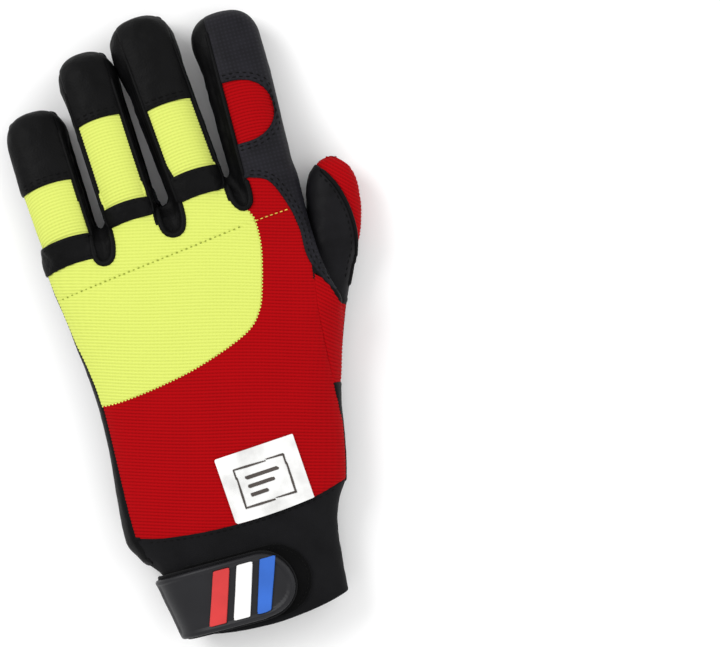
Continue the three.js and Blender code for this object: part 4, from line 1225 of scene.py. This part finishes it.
stitches("needle_stitches", [needle_line[needle_line[:, 0] > needle_turn]], 0.45, YELLOW_THREAD, length=1.4,
         pitch=2.2, radius=0.26)
# Dark olive dots along the needle line on the bright panel: painted shade of the needle holes.
stitches("needle_hole_shade", [needle_line[needle_line[:, 0] < needle_turn]], 0.7, HOLE_SHADE, length=0.9,
         pitch=2.2, radius=0.24)
bright_line = spline(plan(BRIGHT_EDGE))
stitches("bright_stitches", [beside(bright_line, 0.1)[2:]], 0.5, OVERLOCK, length=0.8, pitch=1.5, radius=0.3)
# A thin black roll inside the badge's rim: painted shade of the groove between the rim and the field.
badge_shade_line = tongue(-33, STRAP_TIP - 2.6, STRAP_LOW + 2.6, STRAP_HIGH - 2.6)
rolls("badge_groove_shade", [badge_shade_line], 0.28, 4.5, BLACK)
tape_line = tongue(TAPE_LEFT + 2, TAPE_TIP - 1.6, STRAP_LOW + 1.6, STRAP_HIGH - 0.6)
stitches("tape_stitches", [tape_line[4:]], 1.3, BLACK_THREAD, length=1.4, pitch=2.0)
cuff_line = spline(plan(CUFF_SEAM))
stitches("cuff_stitches", [beside(cuff_line, -1.6)[4:-6]], 0.2, BLACK_THREAD)
pad_lines = [beside(rim, -1.7) for name, rim in pad_rims.items() if name != "tip_thumb"]
stitches("pad_stitches", [np.vstack([line, line[:1]]) for line in pad_lines], 1.5, BLACK_THREAD, under=True)

# The camera looks straight down at the photo's turn
FRAME_WIDTH, CAMERA_HEIGHT, SENSOR_WIDTH = 309.6, 1500.0, 36.0
FRAME_LEVEL = 20.0  # the height at which the frame has that width
CAMERA_OVER = (70.9, 63.6)
camera = bpy.data.objects.new("camera", bpy.data.cameras.new("camera"))
camera.data.lens = SENSOR_WIDTH * (CAMERA_HEIGHT - FRAME_LEVEL) / FRAME_WIDTH
camera.location = (*((np.array(CAMERA_OVER) + SHIFT[:2]) / 1000), CAMERA_HEIGHT / 1000)
camera.rotation_euler = (0, 0, -PHOTO_TURN)
bpy.context.scene.collection.objects.link(camera)
bpy.context.scene.camera = camera

# Stage
HALF_FLOOR = 3.0
floor = bpy.data.meshes.new("floor")
floor.from_pydata([(x * HALF_FLOOR, y * HALF_FLOOR, 0) for x, y in ((-1, -1), (1, -1), (1, 1), (-1, 1))], [],
                  [(0, 1, 2, 3)])
floor.materials.append(material("paper", (0.9, 0.9, 0.9), 0.9)[0])
floor_piece = bpy.data.objects.new("floor", floor)
bpy.context.scene.collection.objects.link(floor_piece)
world = bpy.data.worlds.new("studio")
world.use_nodes = True
background = world.node_tree.nodes["Background"]
background.inputs["Color"].default_value = (1, 1, 1, 1)
background.inputs["Strength"].default_value = 0.85
bpy.context.scene.world = world
bpy.context.scene.view_settings.view_transform = "Standard"


def lamp(name, place, size, power):
    """A soft square light that faces the glove."""
    light = bpy.data.lights.new(name, "AREA")
    light.size, light.energy = size, power
    holder = bpy.data.objects.new(name, light)
    x, y, z = place
    holder.location = place
    holder.rotation_euler = (0, math.atan2(math.hypot(x, y), z), math.atan2(y, x))
    bpy.context.scene.collection.objects.link(holder)


lamp("key", (-0.9, 0.9, 1.3), 0.9, 16)
lamp("fill", (1.1, 0.2, 1.2), 1.2, 6)
lamp("rim", (0.1, -1.3, 1.0), 0.9, 4)
